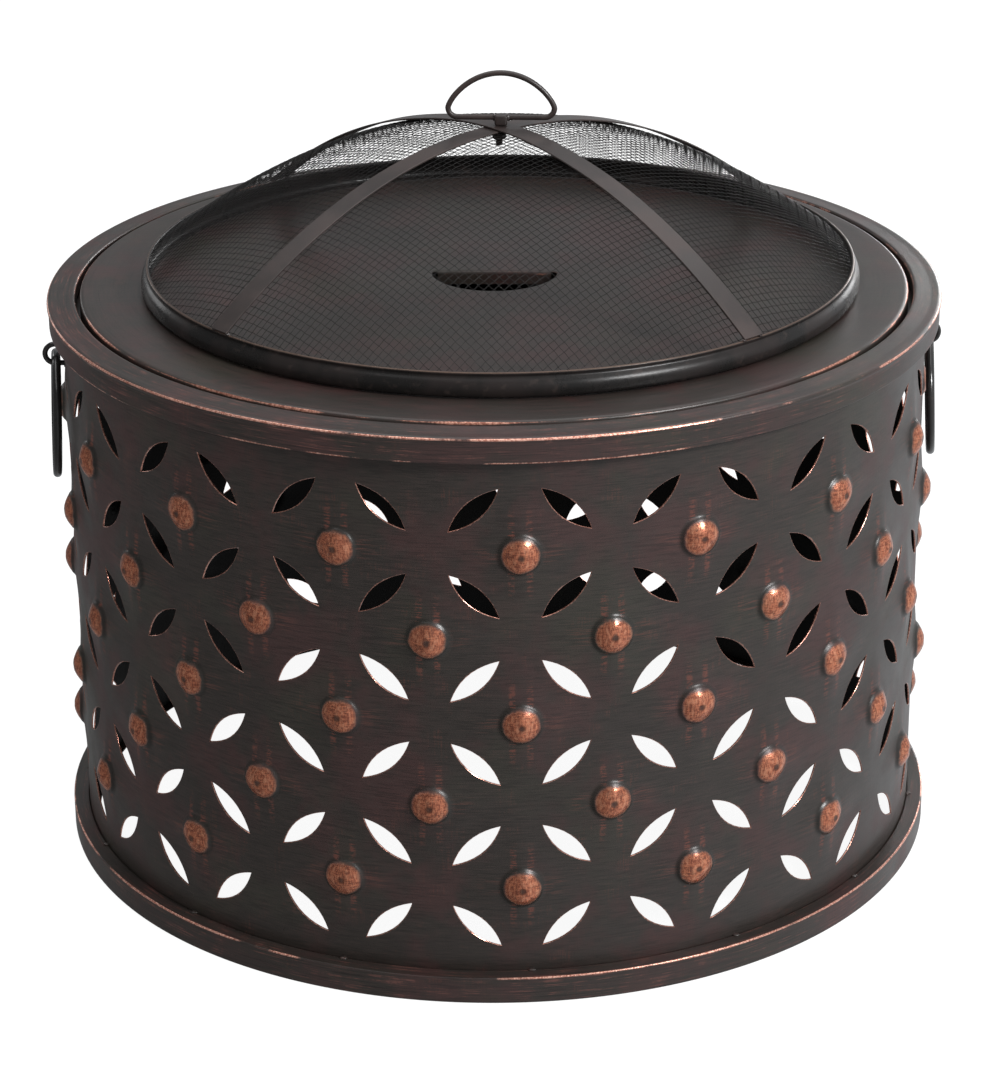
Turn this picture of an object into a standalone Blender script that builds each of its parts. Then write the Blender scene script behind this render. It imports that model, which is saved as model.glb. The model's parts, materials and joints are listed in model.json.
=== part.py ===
# Drum fire pit with a lift-off spark screen, a flat lid, a fire bowl and a log grate.
# Metres, +Z up, origin on the floor under the middle of the drum.
# The pull rings are on +X and -X, and a column of studs faces -Y.

import math

import bmesh
import bpy
from mathutils import Matrix, Vector
from mathutils.geometry import delaunay_2d_cdt

for old in list(bpy.data.objects):
    bpy.data.objects.remove(old, do_unlink=True)

# ---------------------------------------------------------------- dimensions
SHEET = 0.0012            # rolled and pressed sheet
GAP = 0.0003              # between pieces that touch
SEG = 48                  # sides of the large turned rings

DRUM_R = 0.3685           # outside of the drum sheet
DRUM_LOW = 0.0018         # lower edge, on the base ring's bottom flange
DRUM_HIGH = 0.4870        # upper edge, under the rim
COLUMNS = 32              # lattice cells around the drum
ROWS = 6                  # lattice cells from bottom to top
LATTICE_LOW = 0.0272      # height of the lattice's lowest line
CELL = 0.07216            # lattice pitch, up and around
PETAL_DX = 0.0193         # half of a petal, tip to tip, around the drum
PETAL_DZ = 0.0177         # half of a petal, tip to tip, up the drum
PETAL_HALF = 0.0075       # half of a petal's width
STUD_R = 0.0140           # pressed stud, foot radius
STUD_H = 0.0095           # how far a stud stands out

RIM_R = 0.3810            # outer corner of the rim
RIM_Z = 0.4872            # height of that corner
RIM_IN = 0.3570           # inner lip of the rim
SKIRT_LOW = 0.4667        # lower edge of the rim's skirt
BASE_R = 0.3825           # base ring
BASE_H = 0.0230
LEDGE_TOP = 0.4740        # what the bowl's flange rests on
LEDGE_IN = 0.3400

BOWL_FLANGE_R = 0.3520
BOWL_MOUTH_R = 0.3340
BOWL_DEPTH = 0.1400
BOWL_Z = LEDGE_TOP + GAP  # underside of the bowl's flange

GRATE_R = 0.2000          # middle of the grate ring's rod
ROD = 0.0040              # radius of the grate's rod
GRATE_BARS = 7
GRATE_PITCH = 0.0500
FOOT_LEN = 0.0200

LID_R = 0.3530
LID_EDGE = 0.3497          # where the lid's plate meets its edge ring
GRIP_R = 0.0897            # middle part of the plate, with the hand slot
LID_TOP = 0.4912
LID_TURN = math.radians(-5.0)
SLOT_HALF = 0.0540        # half of the hand slot's width
SLOT_BACK = 0.0160        # straight side of the hand slot
SLOT_FRONT = -0.0380      # deepest point of its curved side

SCREEN_X = 0.0055         # the loose screen stands a little to the right
SCREEN_TURN = math.radians(-6.35)
SCREEN_R = 0.3060
SCREEN_LOW = LID_TOP + GAP
SCREEN_RING_TOP = 0.5122
MESH_R = 0.2982
MESH_TOP = 0.6212
MESH_EDGE = 0.5110
MESH_T = 0.0008
CROWN_R = 0.1247           # where the middle of the wire dome meets the rest of it
DOME_POWER = 2.1
STRAP_W = 0.0200
STRAP_T = 0.0015
STRAP_REACH = 0.3015
SHANK_R = 0.0030
HOLE_R = 0.0034
LOOP_WIRE = 0.0024
LOOP_Z = 0.6320           # straight side of the lifting loop
LOOP_TOP = 0.6700
LOOP_HALF = 0.0440

HINGE_Z = 0.4295          # axis of the pull rings
RING_WIRE = 0.00375
RING_R = 0.0520
RING_X = {"right": 0.3780, "left": 0.3768}
RING_TURN = {"right": math.radians(8.8), "left": math.radians(4.7)}
STAPLE_WIRE = 0.0023
STAPLE_OUT = 0.3884       # how far the eyelet reaches from the drum's axis

# ---------------------------------------------------------------- helpers


def material(name, colour, roughness, metallic):
    mat = bpy.data.materials.new(name)
    mat.use_nodes = True
    bsdf = mat.node_tree.nodes["Principled BSDF"]
    bsdf.inputs["Base Color"].default_value = (*colour, 1.0)
    bsdf.inputs["Roughness"].default_value = roughness
    bsdf.inputs["Metallic"].default_value = metallic
    return mat


def add(name, bm, colour=(0.045, 0.036, 0.032), roughness=0.45, metallic=0.6,
        smooth=35.0, parent=None, location=(0, 0, 0), turn=0.0):
    bmesh.ops.recalc_face_normals(bm, faces=bm.faces)
    mesh = bpy.data.meshes.new(name)
    bm.to_mesh(mesh)
    bm.free()
    mesh.shade_smooth()
    mesh.set_sharp_from_angle(angle=math.radians(smooth))
    ob = bpy.data.objects.new(name, mesh)
    bpy.context.scene.collection.objects.link(ob)
    ob.data.materials.append(material(name, colour, roughness, metallic))
    ob.parent = parent
    ob.location = location
    ob.rotation_euler = (0, 0, turn)
    return ob


def empty(name, location=(0, 0, 0), turn=0.0, parent=None):
    ob = bpy.data.objects.new(name, None)
    bpy.context.scene.collection.objects.link(ob)
    ob.location = location
    ob.rotation_euler = (0, 0, turn)
    ob.parent = parent
    return ob


def around(r, angle, z):
    """A point at an angle counted from -Y towards +X."""
    return Vector((r * math.sin(angle), -r * math.cos(angle), z))


def turned(profile, segments=SEG):
    """A closed (r, z) outline spun into a ring."""
    bm = bmesh.new()
    rings = []
    for i in range(segments):
        a = 2 * math.pi * i / segments
        rings.append([bm.verts.new(around(r, a, z)) for r, z in profile])
    n = len(profile)
    for i in range(segments):
        one, two = rings[i], rings[(i + 1) % segments]
        for j in range(n):
            bm.faces.new((one[j], two[j], two[(j + 1) % n], one[(j + 1) % n]))
    return bm


def turned_dish(outline, segments):
    """An (r, z) outline that starts and ends on the axis, spun into a solid."""
    bm = bmesh.new()
    first = bm.verts.new((0, 0, outline[0][1]))
    last = bm.verts.new((0, 0, outline[-1][1]))
    body = outline[1:-1]
    rings = []
    for i in range(segments):
        a = 2 * math.pi * i / segments
        rings.append([bm.verts.new(around(r, a, z)) for r, z in body])
    for i in range(segments):
        one, two = rings[i], rings[(i + 1) % segments]
        bm.faces.new((first, one[0], two[0]))
        bm.faces.new((last, two[-1], one[-1]))
        for j in range(len(body) - 1):
            bm.faces.new((one[j], two[j], two[j + 1], one[j + 1]))
    return bm


def wire(points, radius, sides=6, closed=False, up=Vector((0, 0, 1)), bm=None):
    """A round wire swept along points that lie in one plane with normal up."""
    bm = bm or bmesh.new()
    count = len(points)
    rings = []
    for i, p in enumerate(points):
        if closed:
            tangent = points[(i + 1) % count] - points[i - 1]
        else:
            tangent = points[min(i + 1, count - 1)] - points[max(i - 1, 0)]
        tangent.normalize()
        side = tangent.cross(up).normalized()
        rings.append([bm.verts.new(p + radius * (math.cos(t) * side + math.sin(t) * up))
                      for t in (2 * math.pi * (k + 0.5) / sides for k in range(sides))])
    spans = count if closed else count - 1
    for i in range(spans):
        one, two = rings[i], rings[(i + 1) % count]
        for j in range(sides):
            bm.faces.new((one[j], two[j], two[(j + 1) % sides], one[(j + 1) % sides]))
    if not closed:
        bm.faces.new(rings[0])
        bm.faces.new(rings[-1])
    return bm


def drilled(ob, radius, low, high, at=(0, 0)):
    """A round hole straight down through an object, in its own frame."""
    bm = bmesh.new()
    bmesh.ops.create_cone(bm, cap_ends=True, segments=16, radius1=radius, radius2=radius,
                          depth=high - low,
                          matrix=Matrix.Translation((at[0], at[1], (low + high) / 2)))
    cut(ob, bm, ob.name + "_hole_cutter")


def cut(ob, bm, name):
    bmesh.ops.recalc_face_normals(bm, faces=bm.faces)
    mesh = bpy.data.meshes.new(name)
    bm.to_mesh(mesh)
    bm.free()
    cutter = bpy.data.objects.new(name, mesh)
    bpy.context.scene.collection.objects.link(cutter)
    cutter.parent = ob.parent
    cutter.location = ob.location
    cutter.rotation_euler = ob.rotation_euler
    cutter.hide_render = True
    cutter.display_type = 'WIRE'
    mod = ob.modifiers.new("hole", 'BOOLEAN')
    mod.operation = 'DIFFERENCE'
    mod.solver = 'EXACT'
    mod.object = cutter


# ---------------------------------------------------------------- drum


def has_stud(column, line):
    return 1 <= line <= ROWS - 1 and (column + line) % 2 == 1


def petal(column, row):
    """The six corners of one leaf-shaped hole, in (around, up)."""
    cx = (column + 0.5) * CELL
    cz = LATTICE_LOW + (row + 0.5) * CELL
    lean = 1.0 if (column + row) % 2 == 0 else -1.0
    tip = Vector((lean * PETAL_DX, PETAL_DZ))
    across = Vector((-tip.y, tip.x)).normalized()
    out = [Vector((cx, cz)) + tip]
    for t, h in ((0.36, 1), (-0.36, 1)):
        out.append(Vector((cx, cz)) + tip * t + across * PETAL_HALF * (1 - t * t) * h)
    out.append(Vector((cx, cz)) - tip)
    for t, h in ((-0.36, -1), (0.36, -1)):
        out.append(Vector((cx, cz)) + tip * t + across * PETAL_HALF * (1 - t * t) * h)
    return out


def cell_outline(column, row):
    """The border of one lattice cell, with its stud corners rounded off."""
    x0, z0 = column * CELL, LATTICE_LOW + row * CELL
    corners = [((0, 0), 0.0), ((1, 0), 90.0), ((1, 1), 180.0), ((0, 1), 270.0)]
    out = []
    for (i, j), start in corners:
        at = Vector((x0 + i * CELL, z0 + j * CELL))
        if has_stud((column + i) % COLUMNS, row + j):
            for turn in (90.0, 45.0, 0.0):
                a = math.radians(start + turn)
                out.append(at + STUD_R * Vector((math.cos(a), math.sin(a))))
        else:
            out.append(at)
        if i == j:
            out.append(Vector((x0 + 0.5 * CELL, z0 + j * CELL)))
    return out


def inside(point, ring):
    hit = False
    for a, b in zip(ring, ring[1:] + ring[:1]):
        if (a.y > point.y) != (b.y > point.y):
            if point.x < a.x + (b.x - a.x) * (point.y - a.y) / (b.y - a.y):
                hit = not hit
    return hit


def drum():
    bm = bmesh.new()
    length = COLUMNS * CELL
    made = {}

    def vert(x, z, r):
        """One shared vertex for each place, met again to within 10 micrometres."""
        x = x % length
        i, j, layer = round(x * 1e5), round(z * 1e5), r > DRUM_R - SHEET / 2
        turn = round(length * 1e5)
        for di in (0, -1, 1):
            for dj in (0, -1, 1):
                key = ((i + di) % turn, j + dj, layer)
                if key in made:
                    return made[key]
        made[(i % turn, j, layer)] = bm.verts.new(around(r, 2 * math.pi * x / length, z))
        return made[(i % turn, j, layer)]

    outer, inner = DRUM_R, DRUM_R - SHEET

    def both(points):
        bm.faces.new([vert(p[0], p[1], outer) for p in points])
        bm.faces.new([vert(p[0], p[1], inner) for p in reversed(points)])

    for column in range(COLUMNS):
        for row in range(ROWS):
            border, hole = cell_outline(column, row), petal(column, row)
            points = border + hole
            nb, nh = len(border), len(hole)
            edges = [(i, (i + 1) % nb) for i in range(nb)]
            edges += [(nb + i, nb + (i + 1) % nh) for i in range(nh)]
            got = delaunay_2d_cdt(points, edges, [], 0, 1e-7)
            for face in got[2]:
                tri = [got[0][i] for i in face]
                mid = sum(tri, Vector((0, 0))) / 3
                if inside(mid, border) and not inside(mid, hole):
                    if (tri[1] - tri[0]).cross(tri[2] - tri[0]) < 0:
                        tri.reverse()
                    both(tri)
            for a, b in zip(hole, hole[1:] + hole[:1]):
                bm.faces.new((vert(a.x, a.y, outer), vert(b.x, b.y, outer),
                              vert(b.x, b.y, inner), vert(a.x, a.y, inner)))
        for line in range(ROWS + 1):
            if not has_stud(column, line):
                continue
            cx, cz = column * CELL, LATTICE_LOW + line * CELL
            foot = []
            crown = bm.verts.new(around(outer + STUD_H, 2 * math.pi * cx / length, cz))
            for k in range(8):
                a = math.radians(45 * k)
                x, z = cx + STUD_R * math.cos(a), cz + STUD_R * math.sin(a)
                foot.append((x, z))
            for k in range(8):
                m = (k + 1) % 8
                bm.faces.new((vert(*foot[k], outer), vert(*foot[m], outer), crown))
            bm.faces.new([vert(*p, inner) for p in reversed(foot)])
        top = LATTICE_LOW + ROWS * CELL
        for half in (0, 1):
            x0, x1 = (column + half / 2) * CELL, (column + (half + 1) / 2) * CELL
            both([(x0, DRUM_LOW), (x1, DRUM_LOW), (x1, LATTICE_LOW), (x0, LATTICE_LOW)])
            both([(x0, top), (x1, top), (x1, DRUM_HIGH), (x0, DRUM_HIGH)])
            for z in (DRUM_LOW, DRUM_HIGH):
                bm.faces.new((vert(x0, z, outer), vert(x1, z, outer),
                              vert(x1, z, inner), vert(x0, z, inner)))
    return bm


BRONZE = (0.045, 0.036, 0.032)
BLACK = (0.012, 0.012, 0.012)

add("drum_shell", drum(), BRONZE, 0.42, 0.7, smooth=25)

# C-shaped base ring: a bottom flange under the drum, an outer wall, a top ledge
T = 0.0015
add("base_ring", turned([
    (0.3600, 0.0), (BASE_R, 0.0), (BASE_R, BASE_H - 0.0012), (BASE_R - 0.0012, BASE_H),
    (DRUM_R + 0.0014, BASE_H), (DRUM_R + 0.0014, BASE_H - T), (BASE_R - T, BASE_H - T),
    (BASE_R - T, T), (0.3600, T)]), BRONZE, 0.45, 0.7)

# rim: skirt outside, sloped top, inner lip turned down
add("top_rim_ring", turned([
    (RIM_R - 0.0010, SKIRT_LOW), (RIM_R - 0.0010, RIM_Z - 0.0030), (RIM_R, RIM_Z - 0.0012),
    (RIM_R - 0.0012, RIM_Z + 0.0008), (0.3585, 0.4904),
    (RIM_IN, 0.4890), (RIM_IN, 0.4780), (RIM_IN + T, 0.4780), (RIM_IN + T, 0.4888),
    (RIM_R - 0.0010 - T, RIM_Z - 0.0006), (RIM_R - 0.0010 - T, SKIRT_LOW)]), BRONZE, 0.35, 0.7)

# angle ring inside the drum that carries the bowl
add("bowl_ledge_ring", turned([
    (DRUM_R - SHEET - 0.0008, 0.4550), (DRUM_R - SHEET - 0.0008, LEDGE_TOP),
    (LEDGE_IN, LEDGE_TOP), (LEDGE_IN, LEDGE_TOP - T),
    (DRUM_R - SHEET - 0.0008 - T, LEDGE_TOP - T), (DRUM_R - SHEET - 0.0008 - T, 0.4550)]),
    BRONZE, 0.5, 0.6)

# ---------------------------------------------------------------- pull rings

for name, side in (("right", 1.0), ("left", -1.0)):
    low = HINGE_Z - RING_WIRE - GAP - STAPLE_WIRE
    bend = 0.0085
    centre = STAPLE_OUT - STAPLE_WIRE - bend
    path = [Vector((side * (DRUM_R + GAP), 0, low + 2 * bend))]
    for k in range(13):
        a = math.radians(90 - 15 * k)
        path.append(Vector((side * (centre + bend * math.cos(a)), 0,
                            low + bend + bend * math.sin(a))))
    path.append(Vector((side * (DRUM_R + GAP), 0, low)))
    add("handle_eyelet_" + name, wire(path, STAPLE_WIRE, 6, up=Vector((0, 1, 0))),
        BLACK, 0.4, 0.6)
    turn = side * -RING_TURN[name]
    ring = [Vector((0, RING_R * math.sin(a), -RING_R + RING_R * math.cos(a)))
            for a in (2 * math.pi * k / 32 for k in range(32))]
    add("pull_ring_" + name, wire(ring, RING_WIRE, 6, closed=True, up=Vector((1, 0, 0))),
        BLACK, 0.3, 0.7, location=(side * RING_X[name], 0, HINGE_Z), turn=turn)

# ---------------------------------------------------------------- fire bowl

BOWL_SEG = 40
sphere = (BOWL_MOUTH_R ** 2 + BOWL_DEPTH ** 2) / (2 * BOWL_DEPTH)


def bowl_height(r):
    """Height of the dish's underside above its lowest point."""
    return sphere - math.sqrt(sphere ** 2 - r ** 2)


bowl_low = BOWL_Z - BOWL_DEPTH
steps = [0.0, 0.10, 0.185, 0.25, 0.30]
under = [(r, bowl_low + bowl_height(r)) for r in steps]
over = [(r * (1 - SHEET / sphere), bowl_low + SHEET + bowl_height(r) * (1 - SHEET / sphere))
        for r in steps]
outline = under + [(BOWL_MOUTH_R, BOWL_Z), (BOWL_FLANGE_R, BOWL_Z),
                   (BOWL_FLANGE_R, BOWL_Z + SHEET), (BOWL_MOUTH_R - 0.0012, BOWL_Z + SHEET)]
outline += over[::-1]
add("fire_bowl", turned_dish(outline, BOWL_SEG), BLACK, 0.6, 0.3)

# ---------------------------------------------------------------- grate

floor_z = bowl_low + SHEET + bowl_height(GRATE_R + ROD + 0.002)
foot_low = floor_z + 0.0008
ring_z = foot_low + FOOT_LEN + GAP + ROD
bar_z = ring_z + 2 * ROD + GAP
circle = [around(GRATE_R, 2 * math.pi * k / 36, ring_z) for k in range(36)]
add("grate_ring", wire(circle, ROD, 6, closed=True), BLACK, 0.6, 0.4)
for k in range(GRATE_BARS):
    y = (k - (GRATE_BARS - 1) / 2) * GRATE_PITCH
    half = math.sqrt(GRATE_R ** 2 - y ** 2) + 0.006
    add("grate_bar_%d" % (k + 1),
        wire([Vector((-half, y, bar_z)), Vector((half, y, bar_z))], ROD, 8),
        BLACK, 0.6, 0.4)
for k in range(4):
    at = around(GRATE_R, math.radians(45 + 90 * k), 0)
    add("grate_foot_%d" % (k + 1),
        wire([Vector((at.x, at.y, foot_low)), Vector((at.x, at.y, foot_low + FOOT_LEN))],
             ROD * 1.2, 8, up=Vector((0, 1, 0))), BLACK, 0.6, 0.4)

# ---------------------------------------------------------------- lid

lid_low = BOWL_Z + SHEET + GAP
add("table_lid", turned([
    (GRIP_R + GAP, LID_TOP), (LID_EDGE - GAP, LID_TOP), (LID_EDGE - GAP, LID_TOP - SHEET),
    (GRIP_R + GAP, LID_TOP - SHEET)]), BRONZE, 0.3, 0.6, turn=LID_TURN)

# middle of the lid, with the hand slot
lid = add("lid_grip_plate", turned_dish([
    (0, LID_TOP), (GRIP_R, LID_TOP), (GRIP_R, LID_TOP - SHEET), (0, LID_TOP - SHEET)], SEG),
    BRONZE, 0.3, 0.6, turn=LID_TURN)

# rolled angle that edges the lid's plate and stands it on the bowl's flange
add("lid_edge_ring", turned([
    (LID_EDGE, LID_TOP), (LID_R - 0.0008, LID_TOP - 0.0008), (LID_R, LID_TOP - 0.0030),
    (LID_R, lid_low), (LID_R - SHEET, lid_low), (LID_R - SHEET, LID_TOP - 0.0034),
    (LID_R - 0.0022, LID_TOP - SHEET - 0.0002), (LID_EDGE, LID_TOP - SHEET)]),
    BRONZE, 0.3, 0.6, turn=LID_TURN)
slot = bmesh.new()
shape = [(-SLOT_HALF + 0.004, SLOT_BACK), (-SLOT_HALF, SLOT_BACK - 0.006)]
for k in range(1, 10):
    t = -1 + 2 * k / 10
    shape.append((SLOT_HALF * t, SLOT_FRONT + (SLOT_BACK - 0.006 - SLOT_FRONT)
                  * (1 - math.sqrt(1 - t * t * 0.995))))
shape += [(SLOT_HALF, SLOT_BACK - 0.006), (SLOT_HALF - 0.004, SLOT_BACK)]
low_face = slot.faces.new([slot.verts.new((x, y, LID_TOP - 0.01)) for x, y in shape])
grown = bmesh.ops.extrude_face_region(slot, geom=[low_face])
for v in grown["geom"]:
    if isinstance(v, bmesh.types.BMVert):
        v.co.z += 0.02
cut(lid, slot, "hand_slot_cutter")

# ---------------------------------------------------------------- spark screen

screen = empty("screen_frame", (SCREEN_X, 0, 0), SCREEN_TURN)

add("screen_ring", turned([
    (0.3000, SCREEN_LOW), (0.3040, SCREEN_LOW + 0.0008), (SCREEN_R, SCREEN_LOW + 0.0045),
    (SCREEN_R, 0.5010), (0.3040, 0.5062), (0.3005, 0.5100), (0.3000, SCREEN_RING_TOP),
    (0.2987, SCREEN_RING_TOP), (0.2990, 0.5090), (0.3044, 0.5006),
    (0.3044, SCREEN_LOW + 0.0050), (0.3000, SCREEN_LOW + 0.0015)]), BLACK, 0.25, 0.6, parent=screen)


def dome(r, top, edge, reach):
    return top - (top - edge) * (r / reach) ** DOME_POWER


for name, stations in (("screen_mesh_crown", [HOLE_R, 0.045, 0.085, CROWN_R]),
                       ("screen_mesh", [CROWN_R + GAP, 0.18, 0.24, MESH_R])):
    shell = [(r, dome(r, MESH_TOP, MESH_EDGE, MESH_R)) for r in stations]
    shell += [(r, z - MESH_T) for r, z in reversed(shell)]
    add(name, turned(shell, 40), BLACK, 0.6, 0.3, parent=screen)


def strap(turn, lift):
    """A flat bar bent over the dome; lift raises its middle over the other bar."""
    bm = bmesh.new()
    rows = []
    half = (0.016, 0.045, 0.075, 0.11, 0.15, 0.19, 0.23, 0.27, STRAP_REACH)
    for s in [-r for r in reversed(half)] + list(half):
        r = abs(s)
        z = dome(r, MESH_TOP + 0.0006, SCREEN_RING_TOP + 0.0006, STRAP_REACH)
        t = min(1.0, max(0.0, (r - 0.016) / 0.094))
        z += lift * (1 - t * t * (3 - 2 * t))
        rows.append([bm.verts.new((s, w, z + h)) for w, h in
                     ((-STRAP_W / 2, 0), (STRAP_W / 2, 0),
                      (STRAP_W / 2, STRAP_T), (-STRAP_W / 2, STRAP_T))])
    for one, two in zip(rows, rows[1:]):
        for j in range(4):
            bm.faces.new((one[j], two[j], two[(j + 1) % 4], one[(j + 1) % 4]))
    bm.faces.new(rows[0])
    bm.faces.new(rows[-1])
    bmesh.ops.rotate(bm, verts=bm.verts, cent=(0, 0, 0), matrix=Matrix.Rotation(turn, 3, 'Z'))
    return bm


lower = add("screen_strap_lower", strap(math.radians(45), 0.0), BLACK, 0.4, 0.6, parent=screen)
upper = add("screen_strap_upper", strap(math.radians(-45), STRAP_T + GAP), BLACK, 0.4, 0.6,
            parent=screen)
drilled(lower, HOLE_R, 0.60, 0.64)
drilled(upper, HOLE_R, 0.60, 0.64)

strap_top = MESH_TOP + 0.0006 + 2 * STRAP_T + GAP
eye_ring = [Vector((0, 0.0047 * math.cos(a), LOOP_Z + 0.0047 * math.sin(a)))
            for a in (2 * math.pi * k / 16 for k in range(16))]
eye = wire(eye_ring, 0.0020, 8, closed=True, up=Vector((1, 0, 0)))
eyebolt = add("screen_handle_eyebolt", eye, BLACK, 0.4, 0.7, parent=screen)
shank = bmesh.new()
shank_top, shank_low = LOOP_Z - 0.0040, 0.6080
bmesh.ops.create_cone(shank, cap_ends=True, segments=12, radius1=SHANK_R, radius2=SHANK_R,
                      depth=shank_top - shank_low,
                      matrix=Matrix.Translation((0, 0, (shank_top + shank_low) / 2)))
shank_mesh = bpy.data.meshes.new("eyebolt_shank")
shank.to_mesh(shank_mesh)
shank.free()
shank_ob = bpy.data.objects.new("eyebolt_shank_tool", shank_mesh)
bpy.context.scene.collection.objects.link(shank_ob)
shank_ob.parent = screen
shank_ob.hide_render = True
shank_ob.display_type = 'WIRE'
joined = eyebolt.modifiers.new("shank", 'BOOLEAN')
joined.operation = 'UNION'
joined.solver = 'EXACT'
joined.object = shank_ob

washer_top = MESH_TOP - MESH_T - 0.0006
add("screen_handle_washer", turned([
    (0.0033, washer_top - 0.0012), (0.0080, washer_top - 0.0012),
    (0.0080, washer_top), (0.0033, washer_top)], 20), BLACK, 0.4, 0.7, parent=screen)
nut_top = washer_top - 0.0012 - GAP
nut = bmesh.new()
flats = 0.0050                               # half of the nut's width across flats
loops = []
for k in range(18):
    a = math.radians(20 * k)
    out = flats / math.cos(math.radians((20 * k + 30) % 60 - 30))
    loops.append([nut.verts.new(around(r, a, z)) for r, z in (
        (HOLE_R, nut_top - 0.0050), (out, nut_top - 0.0050), (out, nut_top), (HOLE_R, nut_top))])
for k in range(18):
    one, two = loops[k], loops[(k + 1) % 18]
    for j in range(4):
        nut.faces.new((one[j], two[j], two[(j + 1) % 4], one[(j + 1) % 4]))
add("screen_handle_nut", nut, BLACK, 0.4, 0.7, smooth=20, parent=screen)


def loop_outline():
    """A D: a straight side, two tight corners and a wide arch."""
    corner = 0.0080
    points = []
    for k in range(5):                       # left corner, going down and round
        a = math.radians(180 + 22.5 * k)
        points.append((-LOOP_HALF + corner + corner * math.cos(a),
                       LOOP_Z + corner + corner * math.sin(a)))
    points.append((-0.014, LOOP_Z))
    points.append((0.014, LOOP_Z))
    for k in range(5):
        a = math.radians(270 + 22.5 * k)
        points.append((LOOP_HALF - corner + corner * math.cos(a),
                       LOOP_Z + corner + corner * math.sin(a)))
    rise = LOOP_TOP - LOOP_Z - corner
    for k in range(1, 16):
        a = math.radians(180 * k / 16)
        points.append((LOOP_HALF * math.cos(a), LOOP_Z + corner + rise * math.sin(a) ** 0.92))
    return [Vector((x, 0, z)) for x, z in points]


add("screen_handle_loop", wire(loop_outline(), LOOP_WIRE, 6, closed=True, up=Vector((0, 1, 0))),
    BLACK, 0.3, 0.7, parent=screen)
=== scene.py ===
# Drum fire pit with spark screen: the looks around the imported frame.
import json
import math

import bpy
import numpy as np
from mathutils import Matrix, Vector
from mathutils.geometry import delaunay_2d_cdt

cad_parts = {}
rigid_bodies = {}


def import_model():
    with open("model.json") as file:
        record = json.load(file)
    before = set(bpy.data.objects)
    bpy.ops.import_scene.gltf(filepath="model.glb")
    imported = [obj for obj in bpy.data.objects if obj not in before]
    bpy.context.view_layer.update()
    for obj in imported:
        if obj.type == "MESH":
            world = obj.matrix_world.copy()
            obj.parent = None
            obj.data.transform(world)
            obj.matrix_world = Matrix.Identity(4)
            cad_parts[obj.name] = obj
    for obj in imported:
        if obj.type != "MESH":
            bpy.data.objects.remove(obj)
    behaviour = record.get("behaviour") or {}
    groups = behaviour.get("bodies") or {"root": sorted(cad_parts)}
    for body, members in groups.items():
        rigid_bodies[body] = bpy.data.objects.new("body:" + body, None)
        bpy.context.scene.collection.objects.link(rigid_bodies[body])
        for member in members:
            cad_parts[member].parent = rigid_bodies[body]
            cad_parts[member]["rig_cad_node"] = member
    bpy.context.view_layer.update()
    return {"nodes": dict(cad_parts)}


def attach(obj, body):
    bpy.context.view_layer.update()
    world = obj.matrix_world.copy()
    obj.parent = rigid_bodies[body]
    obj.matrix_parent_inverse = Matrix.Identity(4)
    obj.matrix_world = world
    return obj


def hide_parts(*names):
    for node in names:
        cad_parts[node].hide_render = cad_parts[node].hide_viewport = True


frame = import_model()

TAU = 2 * math.pi

# ---------------------------------------------------------------- sizes (metres)
DRUM_R, SHEET = 0.3685, 0.0012
DRUM_LOW, DRUM_HIGH = 0.0018, 0.4870
COLUMNS, ROWS = 32, 6
LATTICE_LOW, CELL = 0.0272, 0.07216
RIM_R, RIM_Z, RIM_IN, SKIRT_LOW = 0.3810, 0.4872, 0.3570, 0.4667
BASE_R, BASE_H = 0.3825, 0.0230
LEDGE_TOP, LEDGE_IN = 0.4740, 0.3400
LID_R, LID_TOP, LID_TURN = 0.3530, 0.4912, math.radians(-5.0)
LID_LOW = 0.4758
SCREEN_X, SCREEN_TURN = 0.0055, math.radians(-6.35)
SCREEN_LOW = 0.4915
MESH_R, MESH_TOP, MESH_EDGE = 0.2982, 0.6212, 0.5110
STRAP_REACH = 0.3015
LOOP_Z, LOOP_TOP, LOOP_HALF = 0.6320, 0.6700, 0.0448
HINGE_Z, RING_WIRE, RING_R = 0.4295, 0.00375, 0.0520
RING_X = {"right": 0.3780, "left": 0.3768}
RING_TURN = {"right": math.radians(8.8), "left": math.radians(4.7)}
STAPLE_WIRE, STAPLE_OUT = 0.0023, 0.3884

# ---------------------------------------------------------------- node materials


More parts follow.
